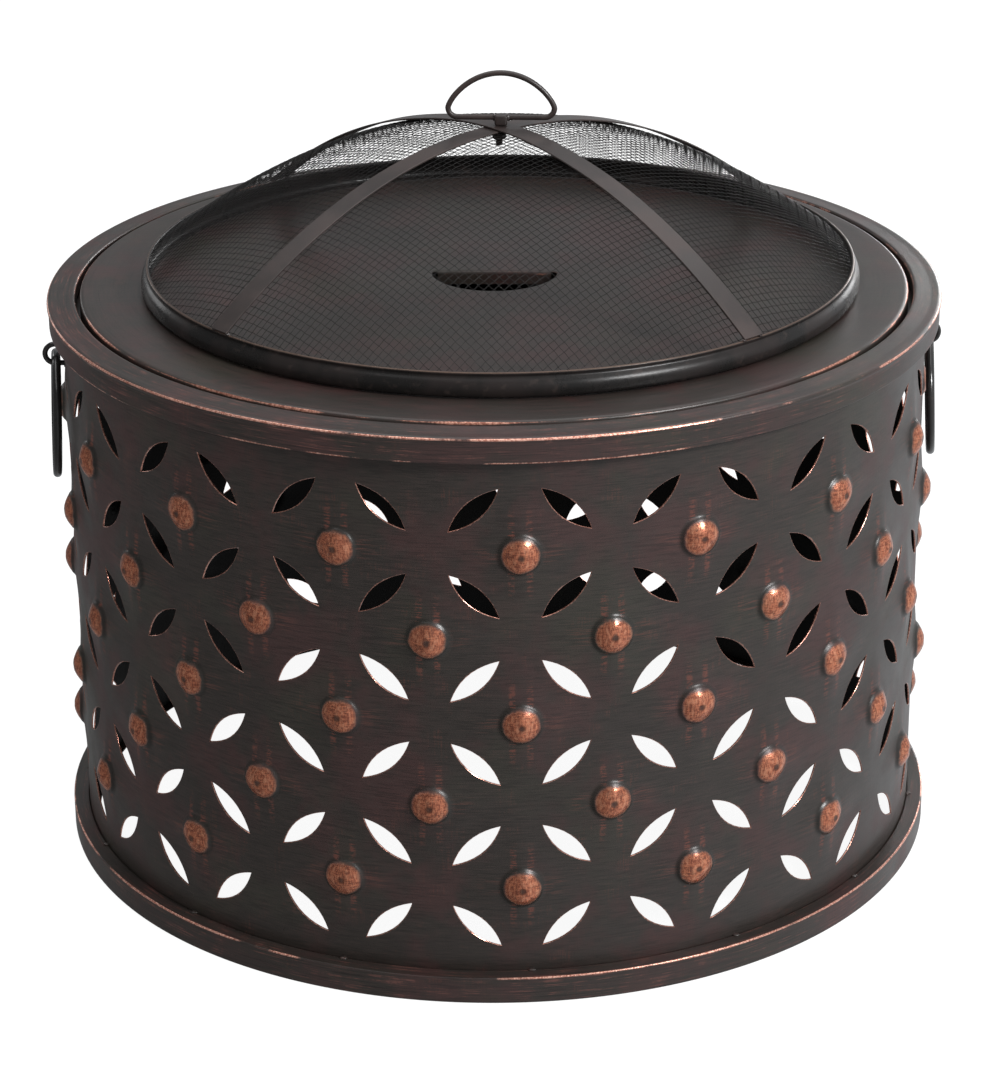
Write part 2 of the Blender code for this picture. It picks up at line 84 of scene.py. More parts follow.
class Mat:
    """A Principled material with a small set of node helpers."""

    def __init__(self, name):
        self.mat = bpy.data.materials.new(name)
        self.mat.use_nodes = True
        self.tree = self.mat.node_tree
        self.bsdf = self.tree.nodes["Principled BSDF"]
        coord = self.tree.nodes.new("ShaderNodeTexCoord")
        self.object = coord.outputs["Object"]

    def new(self, kind, **props):
        node = self.tree.nodes.new(kind)
        for key, value in props.items():
            setattr(node, key, value)
        return node

    def put(self, socket, value):
        if isinstance(value, bpy.types.NodeSocket):
            self.tree.links.new(value, socket)
        elif hasattr(socket.default_value, "__len__") and not hasattr(value, "__len__"):
            socket.default_value = [value] * len(socket.default_value)
        elif hasattr(value, "__len__") and len(value) == 3 and len(socket.default_value) == 4:
            socket.default_value = (*value, 1.0)
        else:
            socket.default_value = value

    def m(self, op, a, b=0.0, c=0.0, clamp=False):
        node = self.new("ShaderNodeMath", operation=op, use_clamp=clamp)
        for i, v in enumerate((a, b, c)):
            self.put(node.inputs[i], v)
        return node.outputs[0]

    def scaled(self, vec, xyz, shift=(0, 0, 0)):
        node = self.new("ShaderNodeMapping")
        self.put(node.inputs["Vector"], vec)
        node.inputs["Scale"].default_value = xyz
        node.inputs["Location"].default_value = shift
        return node.outputs[0]

    def noise(self, vec, scale=1.0, detail=3.0, rough=0.55, distort=0.0):
        node = self.new("ShaderNodeTexNoise")
        self.put(node.inputs["Vector"], vec)
        self.put(node.inputs["Scale"], scale)
        self.put(node.inputs["Detail"], detail)
        self.put(node.inputs["Roughness"], rough)
        self.put(node.inputs["Distortion"], distort)
        return node.outputs["Fac"]

    def step(self, value, low, high, out_low=0.0, out_high=1.0, smooth=True):
        node = self.new("ShaderNodeMapRange")
        node.interpolation_type = 'SMOOTHSTEP' if smooth else 'LINEAR'
        self.put(node.inputs["Value"], value)
        self.put(node.inputs["From Min"], low)
        self.put(node.inputs["From Max"], high)
        self.put(node.inputs["To Min"], out_low)
        self.put(node.inputs["To Max"], out_high)
        return node.outputs["Result"]

    def mix(self, fac, a, b):
        node = self.new("ShaderNodeMix", data_type='RGBA')
        self.put(node.inputs[0], fac)
        self.put(node.inputs[6], a)
        self.put(node.inputs[7], b)
        return node.outputs[2]

    def split(self, vec):
        node = self.new("ShaderNodeSeparateXYZ")
        self.put(node.inputs[0], vec)
        return node.outputs

    def attribute(self, name):
        return self.new("ShaderNodeAttribute", attribute_name=name).outputs["Fac"]

    def bump(self, height, strength, distance=0.001, normal=None):
        node = self.new("ShaderNodeBump")
        self.put(node.inputs["Height"], height)
        node.inputs["Strength"].default_value = strength
        node.inputs["Distance"].default_value = distance
        if normal is not None:
            self.put(node.inputs["Normal"], normal)
        return node.outputs["Normal"]

    def finish(self, colour=None, metal=None, rough=None, normal=None, specular=None,
               coat=None, coat_rough=None):
        for name, value in (("Base Color", colour), ("Metallic", metal), ("Roughness", rough),
                            ("Normal", normal), ("Specular IOR Level", specular),
                            ("Coat Weight", coat), ("Coat Roughness", coat_rough)):
            if value is not None:
                self.put(self.bsdf.inputs[name], value)
        return self.mat


DARK = (0.0235, 0.0190, 0.0166)
REDDISH = (0.0370, 0.0185, 0.0172)
OLIVE = (0.0260, 0.0240, 0.0185)
COPPER = (0.60, 0.215, 0.120)
COPPER_DEEP = (0.110, 0.034, 0.023)


def round_streak(m, along, fine, shift=0.0):
    """Fine streaks that follow the circumference, as left by rubbing a turned ring."""
    x, y, z = m.split(m.object)[:3]
    r = m.m('SQRT', m.m('ADD', m.m('MULTIPLY', x, x), m.m('MULTIPLY', y, y)))
    turn = m.m('ARCTAN2', x, m.m('MULTIPLY', y, -1.0))
    node = m.new("ShaderNodeCombineXYZ")
    m.put(node.inputs[0], m.m('MULTIPLY', r, fine))
    m.put(node.inputs[1], m.m('ADD', m.m('MULTIPLY', turn, along), shift))
    m.put(node.inputs[2], m.m('MULTIPLY', z, fine))
    return m.noise(node.outputs[0], 1.0, 3, 0.6)


def bronze_base(m, studs):
    """Dark rubbed lacquer: blotches of red and olive under fine crossed brush marks."""
    p = m.object
    blotch = m.noise(m.scaled(p, (1, 1, 1)), 14.0, 4, 0.6)
    across = m.noise(m.scaled(p, (55, 55, 900)), 1.0, 2, 0.5)
    down = m.noise(m.scaled(p, (800, 800, 45)), 1.0, 2, 0.5)
    patch = m.noise(m.scaled(p, (1, 1, 1), (3, 7, 1)), 38.0, 3, 0.6)
    tone = m.mix(m.step(blotch, 0.44, 0.64), DARK, REDDISH)
    tone = m.mix(m.m('MULTIPLY', m.step(m.noise(m.scaled(p, (1, 1, 1), (9, 2, 4)), 9.0, 3, 0.6),
                                        0.50, 0.66), 0.75), tone, OLIVE)
    rubbed = m.m('MULTIPLY', m.step(patch, 0.52, 0.70),
                 m.step(m.m('MULTIPLY', across, down), 0.25, 0.36))
    tone = m.mix(m.m('MULTIPLY', rubbed, 0.26), tone, COPPER_DEEP)
    return tone, blotch, across, down, patch


def aged_bronze(name, studs=False, fine=1.0, edge_gain=1.0):
    m = Mat(name)
    p = m.object
    tone, blotch, across, down, patch = bronze_base(m, studs)
    grain = m.noise(m.scaled(p, (1, 1, 1)), 900.0, 2, 0.6)
    worn = m.attribute("worn")
    broken = m.noise(m.scaled(p, (1, 1, 1), (5, 5, 5)), 75.0, 4, 0.65)
    ragged = m.noise(m.scaled(p, (1, 1, 1), (1, 8, 5)), 620.0, 3, 0.6)
    drift = m.noise(m.scaled(p, (1, 1, 1), (6, 2, 5)), 9.0, 3, 0.6)
    keep = m.m('ADD', m.m('MULTIPLY', m.step(drift, 0.40, 0.60), 0.42), m.m('MULTIPLY', broken, 0.46))
    edge = m.step(m.m('ADD', m.m('MULTIPLY', worn, 0.78 * edge_gain),
                      m.m('ADD', keep, m.m('MULTIPLY', ragged, 0.14))), 1.08, 1.30)
    edge = m.m('MULTIPLY', edge, m.step(worn, 0.05, 0.30))
    if not studs:
        # rubbed streaks round the ring, red and pale over dark
        streaks = round_streak(m, 9.0, 900.0)
        longer = round_streak(m, 4.0, 420.0, 5.0)
        tone = m.mix(m.m('MULTIPLY', m.step(longer, 0.46, 0.62), 0.45), tone, (0.0330, 0.0190, 0.0180))
        tone = m.mix(m.m('MULTIPLY', m.step(streaks, 0.54, 0.66), m.step(broken, 0.42, 0.62, 0.05, 0.55)),
                     tone, (0.150, 0.056, 0.044))
        tone = m.mix(m.m('MULTIPLY', m.step(streaks, 0.34, 0.46, 1.0, 0.0), 0.55), tone, (0.0085, 0.0070, 0.0064))
    else:
        tone = m.mix(m.m('MULTIPLY', m.step(across, 0.36, 0.48, 1.0, 0.0), 0.38), tone, (0.0105, 0.0085, 0.0075))
        tone = m.mix(m.m('MULTIPLY', m.step(across, 0.54, 0.68), 0.30), tone, (0.044, 0.0290, 0.0260))
    if studs:
        edge = m.m('MULTIPLY', m.step(m.m('ADD', worn, m.m('MULTIPLY', m.m('SUBTRACT', ragged, 0.5), 0.16)), 0.34, 0.52),
                   m.step(broken, 0.36, 0.56, 0.45, 1.0))
    copper = edge
    shine = None
    if studs:
        x, y, z = m.split(p)[:3]
        angle = m.m('ARCTAN2', x, m.m('MULTIPLY', y, -1.0))
        u = m.m('MULTIPLY', angle, COLUMNS / TAU)
        v = m.m('MULTIPLY', m.m('SUBTRACT', z, LATTICE_LOW), 1.0 / CELL)
        dm = m.m('SUBTRACT', m.m('WRAP', m.m('ADD', u, v), 2.0, 0.0), 1.0)
        dn = m.m('SUBTRACT', m.m('WRAP', m.m('SUBTRACT', u, v), 2.0, 0.0), 1.0)
        du = m.m('MULTIPLY', m.m('ADD', dm, dn), 0.5 * CELL)
        dv = m.m('MULTIPLY', m.m('SUBTRACT', dm, dn), 0.5 * CELL)
        line = m.m('SUBTRACT', v, m.m('MULTIPLY', dv, 1.0 / CELL))
        real = m.m('MULTIPLY', m.m('GREATER_THAN', line, 0.5), m.m('LESS_THAN', line, 5.5))
        rho = m.m('SQRT', m.m('ADD', m.m('MULTIPLY', du, du), m.m('MULTIPLY', dv, dv)))
        adu = m.m('ABSOLUTE', du)
        adv = m.m('ABSOLUTE', dv)
        wobble = m.noise(m.scaled(p, (1, 1, 1), (2, 4, 4)), 120.0, 3, 0.6)
        streak = m.noise(m.scaled(p, (420, 420, 130)), 1.0, 3, 0.6)
        cross = m.noise(m.scaled(p, (90, 90, 520)), 1.0, 3, 0.6)
        # studs: rubbed to copper except at the dark pit and the foot; the upper side of each dome is kept dark as
        # painted shade
        body = m.step(m.m('ADD', rho, m.m('MULTIPLY', wobble, 0.0036)), 0.0132, 0.0172, 1.0, 0.0)
        # painted shade: the top edge of each dome fades back to the dark sheet colour, standing in for the dark it
        # reflects
        upper = m.step(m.m('ADD', dv, m.m('MULTIPLY', wobble, 0.0050)), 0.0125, 0.0165, 1.0, 0.20)
        pit = m.step(m.m('ADD', rho, m.m('MULTIPLY', wobble, 0.0030)), 0.0026, 0.0052, 0.35, 1.0)
        thin_down = m.noise(m.scaled(p, (950, 950, 170)), 1.0, 3, 0.6)
        thin_across = m.noise(m.scaled(p, (170, 170, 1100)), 1.0, 3, 0.6)
        lines = m.m('ADD', m.m('MULTIPLY', thin_down, 0.55), m.m('MULTIPLY', thin_across, 0.45))
        fleck = m.step(lines, 0.42, 0.60)
        stud = m.m('MULTIPLY', m.m('MULTIPLY', m.m('MULTIPLY', body, pit), upper),
                   m.step(m.m('ADD', m.m('MULTIPLY', wobble, 0.5), m.m('MULTIPLY', lines, 0.5)), 0.36, 0.50, 0.45, 1.0))
        stud = m.m('MULTIPLY', stud, real)
        # pairs of dotted brush strokes above and below each stud
        away = m.m('ABSOLUTE', m.m('SUBTRACT', adu, 0.0070))
        stroke = m.m('MULTIPLY', m.step(away, 0.0012, 0.0036, 1.0, 0.0),
                     m.m('MULTIPLY', m.step(adv, 0.0130, 0.0165), m.step(adv, 0.0230, 0.0420, 1.0, 0.0)))
        dots = m.step(m.m('ADD', m.m('MULTIPLY', across, 0.55), m.m('MULTIPLY', m.noise(m.scaled(p, (260, 260, 420)), 1.0, 3, 0.6), 0.45)), 0.47, 0.58)
        stroke = m.m('MULTIPLY', m.m('MULTIPLY', stroke, dots), m.m('MULTIPLY', real, 0.70))
        # short strokes beside the studs
        side = m.m('MULTIPLY', m.step(adv, 0.0030, 0.0110, 1.0, 0.0),
                   m.m('MULTIPLY', m.step(adu, 0.0150, 0.0190), m.step(adu, 0.0240, 0.0420, 1.0, 0.0)))
        side = m.m('MULTIPLY', m.m('MULTIPLY', side, m.step(across, 0.50, 0.62)),
                   m.m('MULTIPLY', real, 0.30))
        # the foot of the stud keeps its dark lacquer
        foot = m.m('MULTIPLY', m.step(rho, 0.0142, 0.0160), m.step(rho, 0.0168, 0.0192, 1.0, 0.0))
        foot = m.m('MULTIPLY', foot, real)
        tone = m.mix(m.m('MULTIPLY', foot, 0.60), tone, (0.009, 0.0082, 0.0065))
        tone = m.mix(m.m('MAXIMUM', stroke, side), tone, COPPER_DEEP)
        pit_dark = m.m('MULTIPLY', m.m('MULTIPLY', m.step(rho, 0.0012, 0.0040, 1.0, 0.0), real), 0.70)
        copper_tone = m.mix(fleck, (0.280, 0.090, 0.056), COPPER)
        copper_tone = m.mix(m.m('MULTIPLY', m.step(streak, 0.48, 0.66), 0.7), copper_tone, (0.68, 0.300, 0.180))
        tone = m.mix(stud, tone, copper_tone)
        tone = m.mix(pit_dark, tone, (0.020, 0.013, 0.011))
        shine = stud
    edge_tone = m.mix(m.step(ragged, 0.38, 0.62), (0.27, 0.108, 0.080), (0.54, 0.29, 0.225)) if studs else \
        m.mix(m.step(ragged, 0.38, 0.62), (0.38, 0.145, 0.105), (0.74, 0.42, 0.33))
    tone = m.mix(edge, tone, edge_tone)
    total = m.m('MAXIMUM', copper, shine) if shine is not None else copper
    rough = m.m('ADD', m.step(blotch, 0.3, 0.7, 0.30, 0.41), m.m('MULTIPLY', m.m('SUBTRACT', grain, 0.5), 0.16))
    rough = m.m('SUBTRACT', rough, m.m('MULTIPLY', total, 0.17 if studs else 0.05))
    height = m.m('ADD', m.m('MULTIPLY', across, 0.30), m.m('ADD', m.m('MULTIPLY', down, 0.25),
                                                         m.m('MULTIPLY', ragged, 0.45)))
    normal = m.bump(height, 0.22 * fine, 0.0006)
    return m.finish(tone, m.step(total, 0.0, 0.8, 0.05, 0.80 if studs else 0.70), rough, normal, specular=0.40)


def lid_bronze(name):
    m = Mat(name)
    p = m.object
    tone, blotch, across, down, patch = bronze_base(m, False)
    long_streak = m.noise(m.scaled(p, (9, 260, 260), (1, 1, 1)), 1.0, 3, 0.55)
    swirl = m.noise(m.scaled(p, (1, 1, 1), (7, 1, 2)), 6.0, 3, 0.6, 0.4)
    tone = m.mix(m.m('MULTIPLY', m.step(long_streak, 0.50, 0.66), 0.45), tone, (0.036, 0.0235, 0.0215))
    tone = m.mix(m.m('MULTIPLY', m.step(swirl, 0.45, 0.65), 0.40), tone, (0.0215, 0.0208, 0.0185))
    worn = m.attribute("worn")
    ragged = m.noise(m.scaled(p, (1, 1, 1), (1, 8, 5)), 520.0, 3, 0.6)
    broken = m.noise(m.scaled(p, (1, 1, 1), (5, 3, 5)), 60.0, 4, 0.65)
    drift = m.noise(m.scaled(p, (1, 1, 1), (6, 6, 1)), 8.0, 3, 0.6)
    keep = m.m('ADD', m.m('MULTIPLY', m.step(drift, 0.40, 0.60), 0.42), m.m('MULTIPLY', broken, 0.46))
    edge = m.step(m.m('ADD', m.m('MULTIPLY', worn, 0.78), m.m('ADD', keep, m.m('MULTIPLY', ragged, 0.14))),
                  1.08, 1.30)
    edge = m.m('MULTIPLY', edge, m.step(worn, 0.05, 0.30))
    streaks = round_streak(m, 7.0, 700.0)
    tone = m.mix(m.m('MULTIPLY', m.step(streaks, 0.52, 0.66), 0.40), tone, (0.046, 0.0270, 0.0250))
    tone = m.mix(m.m('MULTIPLY', m.step(streaks, 0.34, 0.46, 1.0, 0.0), 0.45), tone, (0.0090, 0.0076, 0.0070))
    tone = m.mix(edge, tone, m.mix(m.step(ragged, 0.4, 0.62), (0.30, 0.115, 0.080), (0.60, 0.31, 0.230)))
    fine = m.noise(m.scaled(p, (1, 1, 1)), 1100.0, 2, 0.6)
    rough = m.m('ADD', m.step(swirl, 0.3, 0.7, 0.30, 0.40), m.m('MULTIPLY', m.m('SUBTRACT', fine, 0.5), 0.14))
    height = m.m('ADD', m.m('MULTIPLY', long_streak, 0.6), m.m('MULTIPLY', fine, 0.4))
    return m.finish(tone, m.step(edge, 0.0, 0.8, 0.05, 0.7), rough, m.bump(height, 0.12, 0.0005), specular=0.34)


def enamel(name, base=(0.0125, 0.0115, 0.0110), warm=(0.024, 0.018, 0.0165), rough=(0.20, 0.34),
           peel=0.16, metal=0.0, specular=0.5):
    m = Mat(name)
    p = m.object
    cloud = m.noise(m.scaled(p, (1, 1, 1)), 22.0, 4, 0.6)
    streak = m.noise(m.scaled(p, (1, 1, 1), (2, 5, 3)), 130.0, 3, 0.6)
    grain = m.noise(m.scaled(p, (1, 1, 1), (2, 2, 3)), 800.0, 2, 0.5)
    worn = m.attribute("worn")
    tone = m.mix(m.step(cloud, 0.40, 0.66), base, warm)
    tone = m.mix(m.m('MULTIPLY', m.step(streak, 0.56, 0.72), 0.5), tone, (0.035, 0.026, 0.023))
    rub = m.m('MULTIPLY', m.step(m.m('ADD', worn, m.m('MULTIPLY', grain, 0.4)), 0.55, 1.1), 0.8)
    tone = m.mix(rub, tone, (0.13, 0.085, 0.065))
    r = m.m('ADD', m.step(cloud, 0.3, 0.7, rough[0], rough[1]),
            m.m('MULTIPLY', m.m('SUBTRACT', grain, 0.5), 0.12))
    return m.finish(tone, m.step(rub, 0.0, 1.0, metal, 0.7), r,
                    m.bump(m.m('ADD', m.m('MULTIPLY', streak, 0.5), m.m('MULTIPLY', grain, 0.5)),
                           peel, 0.0005), specular=specular)


def mesh_black(name):
    m = Mat(name)
    p = m.object
    cloud = m.noise(m.scaled(p, (1, 1, 1)), 30.0, 3, 0.6)
    grain = m.noise(m.scaled(p, (1, 1, 1)), 1500.0, 2, 0.6)
    tone = m.mix(m.step(cloud, 0.40, 0.65), (0.0035, 0.0032, 0.0031), (0.0080, 0.0062, 0.0058))
    rough = m.m('ADD', 0.36, m.m('MULTIPLY', grain, 0.22))
    return m.finish(tone, None, rough, m.bump(grain, 0.20, 0.0002), specular=0.22)


def hot_steel(name):
    m = Mat(name)
    p = m.object
    soot = m.noise(m.scaled(p, (1, 1, 1)), 16.0, 5, 0.65)
    scale = m.noise(m.scaled(p, (1, 1, 1), (4, 1, 2)), 240.0, 4, 0.65)
    tint = m.noise(m.scaled(p, (1, 1, 1), (8, 8, 1)), 7.0, 2, 0.5)
    tone = m.mix(m.step(soot, 0.36, 0.66), (0.0085, 0.0080, 0.0078), (0.0190, 0.0168, 0.0156))
    tone = m.mix(m.m('MULTIPLY', m.step(tint, 0.52, 0.70), 0.35), tone, (0.042, 0.030, 0.024))
    tone = m.mix(m.m('MULTIPLY', m.step(scale, 0.60, 0.72), 0.45), tone, (0.060, 0.050, 0.045))
    rough = m.step(soot, 0.3, 0.7, 0.52, 0.72)
    return m.finish(tone, 0.05, rough, m.bump(m.m('ADD', scale, m.m('MULTIPLY', soot, 0.6)), 0.35, 0.0007), specular=0.22)


BRONZE_DRUM = aged_bronze("aged_bronze_drum", studs=True)
BRONZE_RIM = aged_bronze("aged_bronze_rim", edge_gain=1.0)
BRONZE_PLAIN = aged_bronze("aged_bronze_plain", edge_gain=0.9)
LID_MAT = lid_bronze("lid_bronze_top")
ENAMEL = enamel("black_enamel_ring", (0.0085, 0.0078, 0.0075), (0.0150, 0.0115, 0.0108), (0.24, 0.36), specular=0.22)
ENAMEL_STRAP = enamel("black_enamel_strap", (0.0215, 0.0160, 0.0148), (0.034, 0.0230, 0.0208), (0.32, 0.44), 0.2, specular=0.42)
ENAMEL_GLOSS = enamel("black_enamel_gloss", (0.0105, 0.0100, 0.0100), (0.016, 0.0140, 0.0135), (0.16, 0.26), 0.10)
MESH_MAT = mesh_black("black_mesh_wire")
HOT = hot_steel("bare_hot_steel_bowl")


# painted shade: a near-black matt for the inside of the drum, darker than its paint, with random sooty clouds and dust
# over it
def sooty_and_shaded(name):
    m = Mat(name)
    p = m.object
    soot = m.noise(m.scaled(p, (1, 1, 1)), 20.0, 4, 0.6)
    dust = m.noise(m.scaled(p, (1, 1, 1), (3, 1, 4)), 300.0, 3, 0.6)
    tone = m.mix(m.step(soot, 0.38, 0.66), (0.0022, 0.0021, 0.0020), (0.0045, 0.0040, 0.0037))
    tone = m.mix(m.m('MULTIPLY', m.step(dust, 0.58, 0.72), 0.4), tone, (0.0080, 0.0066, 0.0060))
    return m.finish(tone, None, m.step(soot, 0.3, 0.7, 0.62, 0.80), m.bump(dust, 0.25, 0.0005), specular=0.10)


INSIDE_SHADED = sooty_and_shaded("black_inside_painted_shade")

# ---------------------------------------------------------------- mesh helpers


def around(r, angle, z):
    return (r * math.sin(angle), -r * math.cos(angle), z)


def make(name, verts, faces, mat, body, nodes=(), slot=None, smooth=35.0, worn=None,
         turn=0.0, at=(0, 0, 0), flip=False):
    """A mesh object in the row frame that rides on a body and stands for CAD nodes."""
    v = np.asarray(verts, float).reshape(-1, 3)
    if turn or any(at):
        c, s = math.cos(turn), math.sin(turn)
        v = np.c_[v[:, 0] * c - v[:, 1] * s, v[:, 0] * s + v[:, 1] * c, v[:, 2]] + np.array(at)
    mesh = bpy.data.meshes.new(name)
    mesh.from_pydata(v.tolist(), [], [tuple(f[::-1]) if flip else tuple(f) for f in faces])
    mesh.update()
    mesh.shade_smooth()
    mesh.set_sharp_from_angle(angle=math.radians(smooth))
    a = mesh.attributes.new("worn", 'FLOAT', 'POINT')
    a.data.foreach_set("value", np.zeros(len(v), np.float32) if worn is None
                       else np.asarray(worn, np.float32))
    ob = bpy.data.objects.new(name, mesh)
    bpy.context.scene.collection.objects.link(ob)
    mesh.materials.append(mat)
    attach(ob, body)
    nodes = [n for n in nodes if n in frame["nodes"]]
    if nodes:
        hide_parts(*nodes)
    return ob


def rounded(points, cut, n=4, spread=0.0009, closed=True):
    """(r, z, worn) corners rounded by small arcs; wear stays near its corner."""
    out = []
    count = len(points)
    for i, (r, z, w) in enumerate(points):
        p = np.array((r, z))
        if not closed and i in (0, count - 1):
            out.append((r, z, w))
            continue
        a = np.array(points[i - 1][:2]) - p
        b = np.array(points[(i + 1) % count][:2]) - p
        la, lb = np.linalg.norm(a), np.linalg.norm(b)
        ca, cb = min(cut, la * 0.42), min(cut, lb * 0.42)
        pa, pb = p + a / la * ca, p + b / lb * cb
        if w > 0 and la * 0.45 > ca + spread:
            out.append((*(p + a / la * (ca + spread)), 0.0))
        for k in range(n + 1):
            t = k / n
            q = (1 - t) ** 2 * pa + 2 * t * (1 - t) * p + t * t * pb
            out.append((q[0], q[1], w))
        if w > 0 and lb * 0.45 > cb + spread:
            out.append((*(p + b / lb * (cb + spread)), 0.0))
    return out


def lathe(name, profile, seg, mat, body, closed=True, **kw):
    """An (r, z, worn) outline spun around Z. An open outline may start and end on the axis."""
    verts, worn, faces, index = [], [], [], []
    for r, z, w in profile:
        if r < 1e-9:
            index.append([len(verts)] * seg)
            verts.append((0, 0, z))
            worn.append(w)
        else:
            base = len(verts)
            index.append([base + i for i in range(seg)])
            for i in range(seg):
                verts.append(around(r, TAU * i / seg, z))
                worn.append(w)
    n = len(profile)
    for j in range(n if closed else n - 1):
        one, two = index[j], index[(j + 1) % n]
        for i in range(seg):
            k = (i + 1) % seg
            quad = [one[i], one[k], two[k], two[i]]
            quad = [q for q, prev in zip(quad, quad[-1:] + quad[:-1]) if q != prev]
            if len(set(quad)) >= 3:
                faces.append(tuple(dict.fromkeys(quad)))
    area = sum(profile[j][0] * profile[(j + 1) % n][1] - profile[(j + 1) % n][0] * profile[j][1]
               for j in range(n))
    return make(name, verts, faces, mat, body, worn=worn, flip=area < 0, **kw)


def tube_data(points, radius, sides, closed=False, caps=True, squash=None):
    """A round bar swept along points, with frames carried along so that it never twists."""
    pts = [Vector(p) for p in points]
    count = len(pts)
    tangents = []
    for i in range(count):
        if closed:
            t = pts[(i + 1) % count] - pts[i - 1]
        else:
            t = pts[min(i + 1, count - 1)] - pts[max(i - 1, 0)]
        tangents.append(t.normalized())
    ref = Vector((0, 0, 1)) if abs(tangents[0].z) < 0.9 else Vector((1, 0, 0))
    normal = (ref - tangents[0] * ref.dot(tangents[0])).normalized()
    normals = [normal]
    for i in range(1, count):
        n = normals[-1] - tangents[i] * normals[-1].dot(tangents[i])
        normals.append(n.normalized())
    twist = 0.0
    if closed:
        last = normals[-1] - tangents[0] * normals[-1].dot(tangents[0])
        last.normalize()
        twist = math.atan2(last.cross(normals[0]).dot(tangents[0]), last.dot(normals[0]))
    verts, faces = [], []
    radii = radius if hasattr(radius, "__len__") else [radius] * count
    for i in range(count):
        side = tangents[i].cross(normals[i])
        for k in range(sides):
            a = TAU * k / sides + twist * i / count
            verts.append(pts[i] + radii[i] * (math.cos(a) * normals[i] + math.sin(a) * side))
    for i in range(count if closed else count - 1):
        j = (i + 1) % count
        for k in range(sides):
            l = (k + 1) % sides
            faces.append((i * sides + k, i * sides + l, j * sides + l, j * sides + k))
    if not closed and caps:
        faces.append(tuple(range(sides))[::-1])
        faces.append(tuple((count - 1) * sides + k for k in range(sides)))
    return [tuple(v) for v in verts], faces


def domed_ends(points, radius, n=4):
    """Points and radii with rounded ends added to a bar."""
    pts = [Vector(p) for p in points]
    a = (pts[0] - pts[1]).normalized()
    b = (pts[-1] - pts[-2]).normalized()
    out, radii = [], []
    for k in range(n, 0, -1):
        t = math.pi / 2 * k / n * 0.94
        out.append(pts[0] + a * radius * (math.sin(t) - 1))
        radii.append(radius * math.cos(t))
    out2, radii2 = [], []
    for k in range(1, n + 1):
        t = math.pi / 2 * k / n * 0.94
        out2.append(pts[-1] + b * radius * (math.sin(t) - 1))
        radii2.append(radius * math.cos(t))
    first, last = pts[0] - a * radius, pts[-1] - b * radius
    return out + [first] + pts[1:-1] + [last] + out2, radii + [radius] * (len(pts)) + radii2


def join(*parts):
    verts, faces = [], []
    for v, f in parts:
        base = len(verts)
        verts += list(v)
        faces += [tuple(i + base for i in face) for face in f]
    return verts, faces


def bead(centre, size, seed, rings=7, seg=10):
    """A small lumpy drop of weld."""
    c = np.array(centre, float)
    verts, faces = [], []
    for i in range(rings + 1):
        t = math.pi * i / rings
        for k in range(1 if i in (0, rings) else seg):
            a = TAU * k / seg
            lump = 1 + 0.16 * math.sin(3 * a + seed) * math.sin(2 * t + seed * 1.7) \
                + 0.10 * math.sin(5 * a - seed * 2.3)
            verts.append(tuple(c + np.array((math.sin(t) * math.cos(a) * size[0] * lump,
                                             math.sin(t) * math.sin(a) * size[1] * lump,
                                             math.cos(t) * size[2] * lump))))
    def at(i, k):
        if i == 0:
            return 0
        if i == rings:
            return len(verts) - 1
        return 1 + (i - 1) * seg + k % seg
    for i in range(rings):
        for k in range(seg):
            f = [at(i, k), at(i + 1, k), at(i + 1, k + 1), at(i, k + 1)]
            f = list(dict.fromkeys(f))
            faces.append(tuple(f))
    return verts, faces


# ---------------------------------------------------------------- drum sheet

PETAL_L = math.hypot(0.0193, 0.0177)
PETAL_W = 0.0075
STUD_R, STUD_H, TENT = 0.0160, 0.0110, 0.0046


def lattice_local(s, z):
    """Offset from the nearest stud, and whether that stud is real. s and z in metres."""
    u, v = s / CELL, (z - LATTICE_LOW) / CELL
    dm = np.mod(u + v, 2.0) - 1.0
    dn = np.mod(u - v, 2.0) - 1.0
    du, dv = (dm + dn) / 2, (dm - dn) / 2
    line = v - dv
    return du * CELL, dv * CELL, (line > 0.5) & (line < 5.5)


def relief(s, z):
    """How far the pressed sheet stands out from the plain cylinder."""
    dx, dz, real = lattice_local(s, z)
    rho = np.hypot(dx, dz)
    # a four-sided tent around each stud, its ridges softening outwards
    soft = 0.0008 + 0.030 * rho
    one = (np.sqrt(dx ** 2 + soft ** 2 * 0.35) - soft * 0.592) + \
          (np.sqrt(dz ** 2 + soft ** 2 * 0.35) - soft * 0.592)
    t = np.clip(1 - one / 0.054, 0, 1)
    tent = TENT * t ** 1.55
    q = np.clip(rho / STUD_R, 0, 1)
    dome = (1 - q ** 1.75) ** 0.66
    pit = 0.0011 * np.exp(-(rho / 0.0026) ** 2)
    top = (STUD_H - TENT) * dome - pit
    fillet = 0.0007 * np.exp(-((rho - STUD_R) / 0.0016) ** 2)
    ring = -0.00035 * np.exp(-((rho - 0.0188) / 0.0016) ** 2)
    return np.where(real, tent + top + fillet + ring, 0.0)


def lens(cx, cz, ax, az, half_l, half_w, n):
    """Points round a leaf-shaped outline whose tips point along (ax, az)."""
    out = []
    px, pz = -az, ax
    for k in range(n):
        t = math.cos(math.pi * k / n)
        w = half_w * (1 - t * t)
        out.append((cx + ax * half_l * t + px * w, cz + az * half_l * t + pz * w))
    for k in range(n):
        t = -math.cos(math.pi * k / n)
        w = half_w * (1 - t * t)
        out.append((cx + ax * half_l * t - px * w, cz + az * half_l * t - pz * w))
    return out


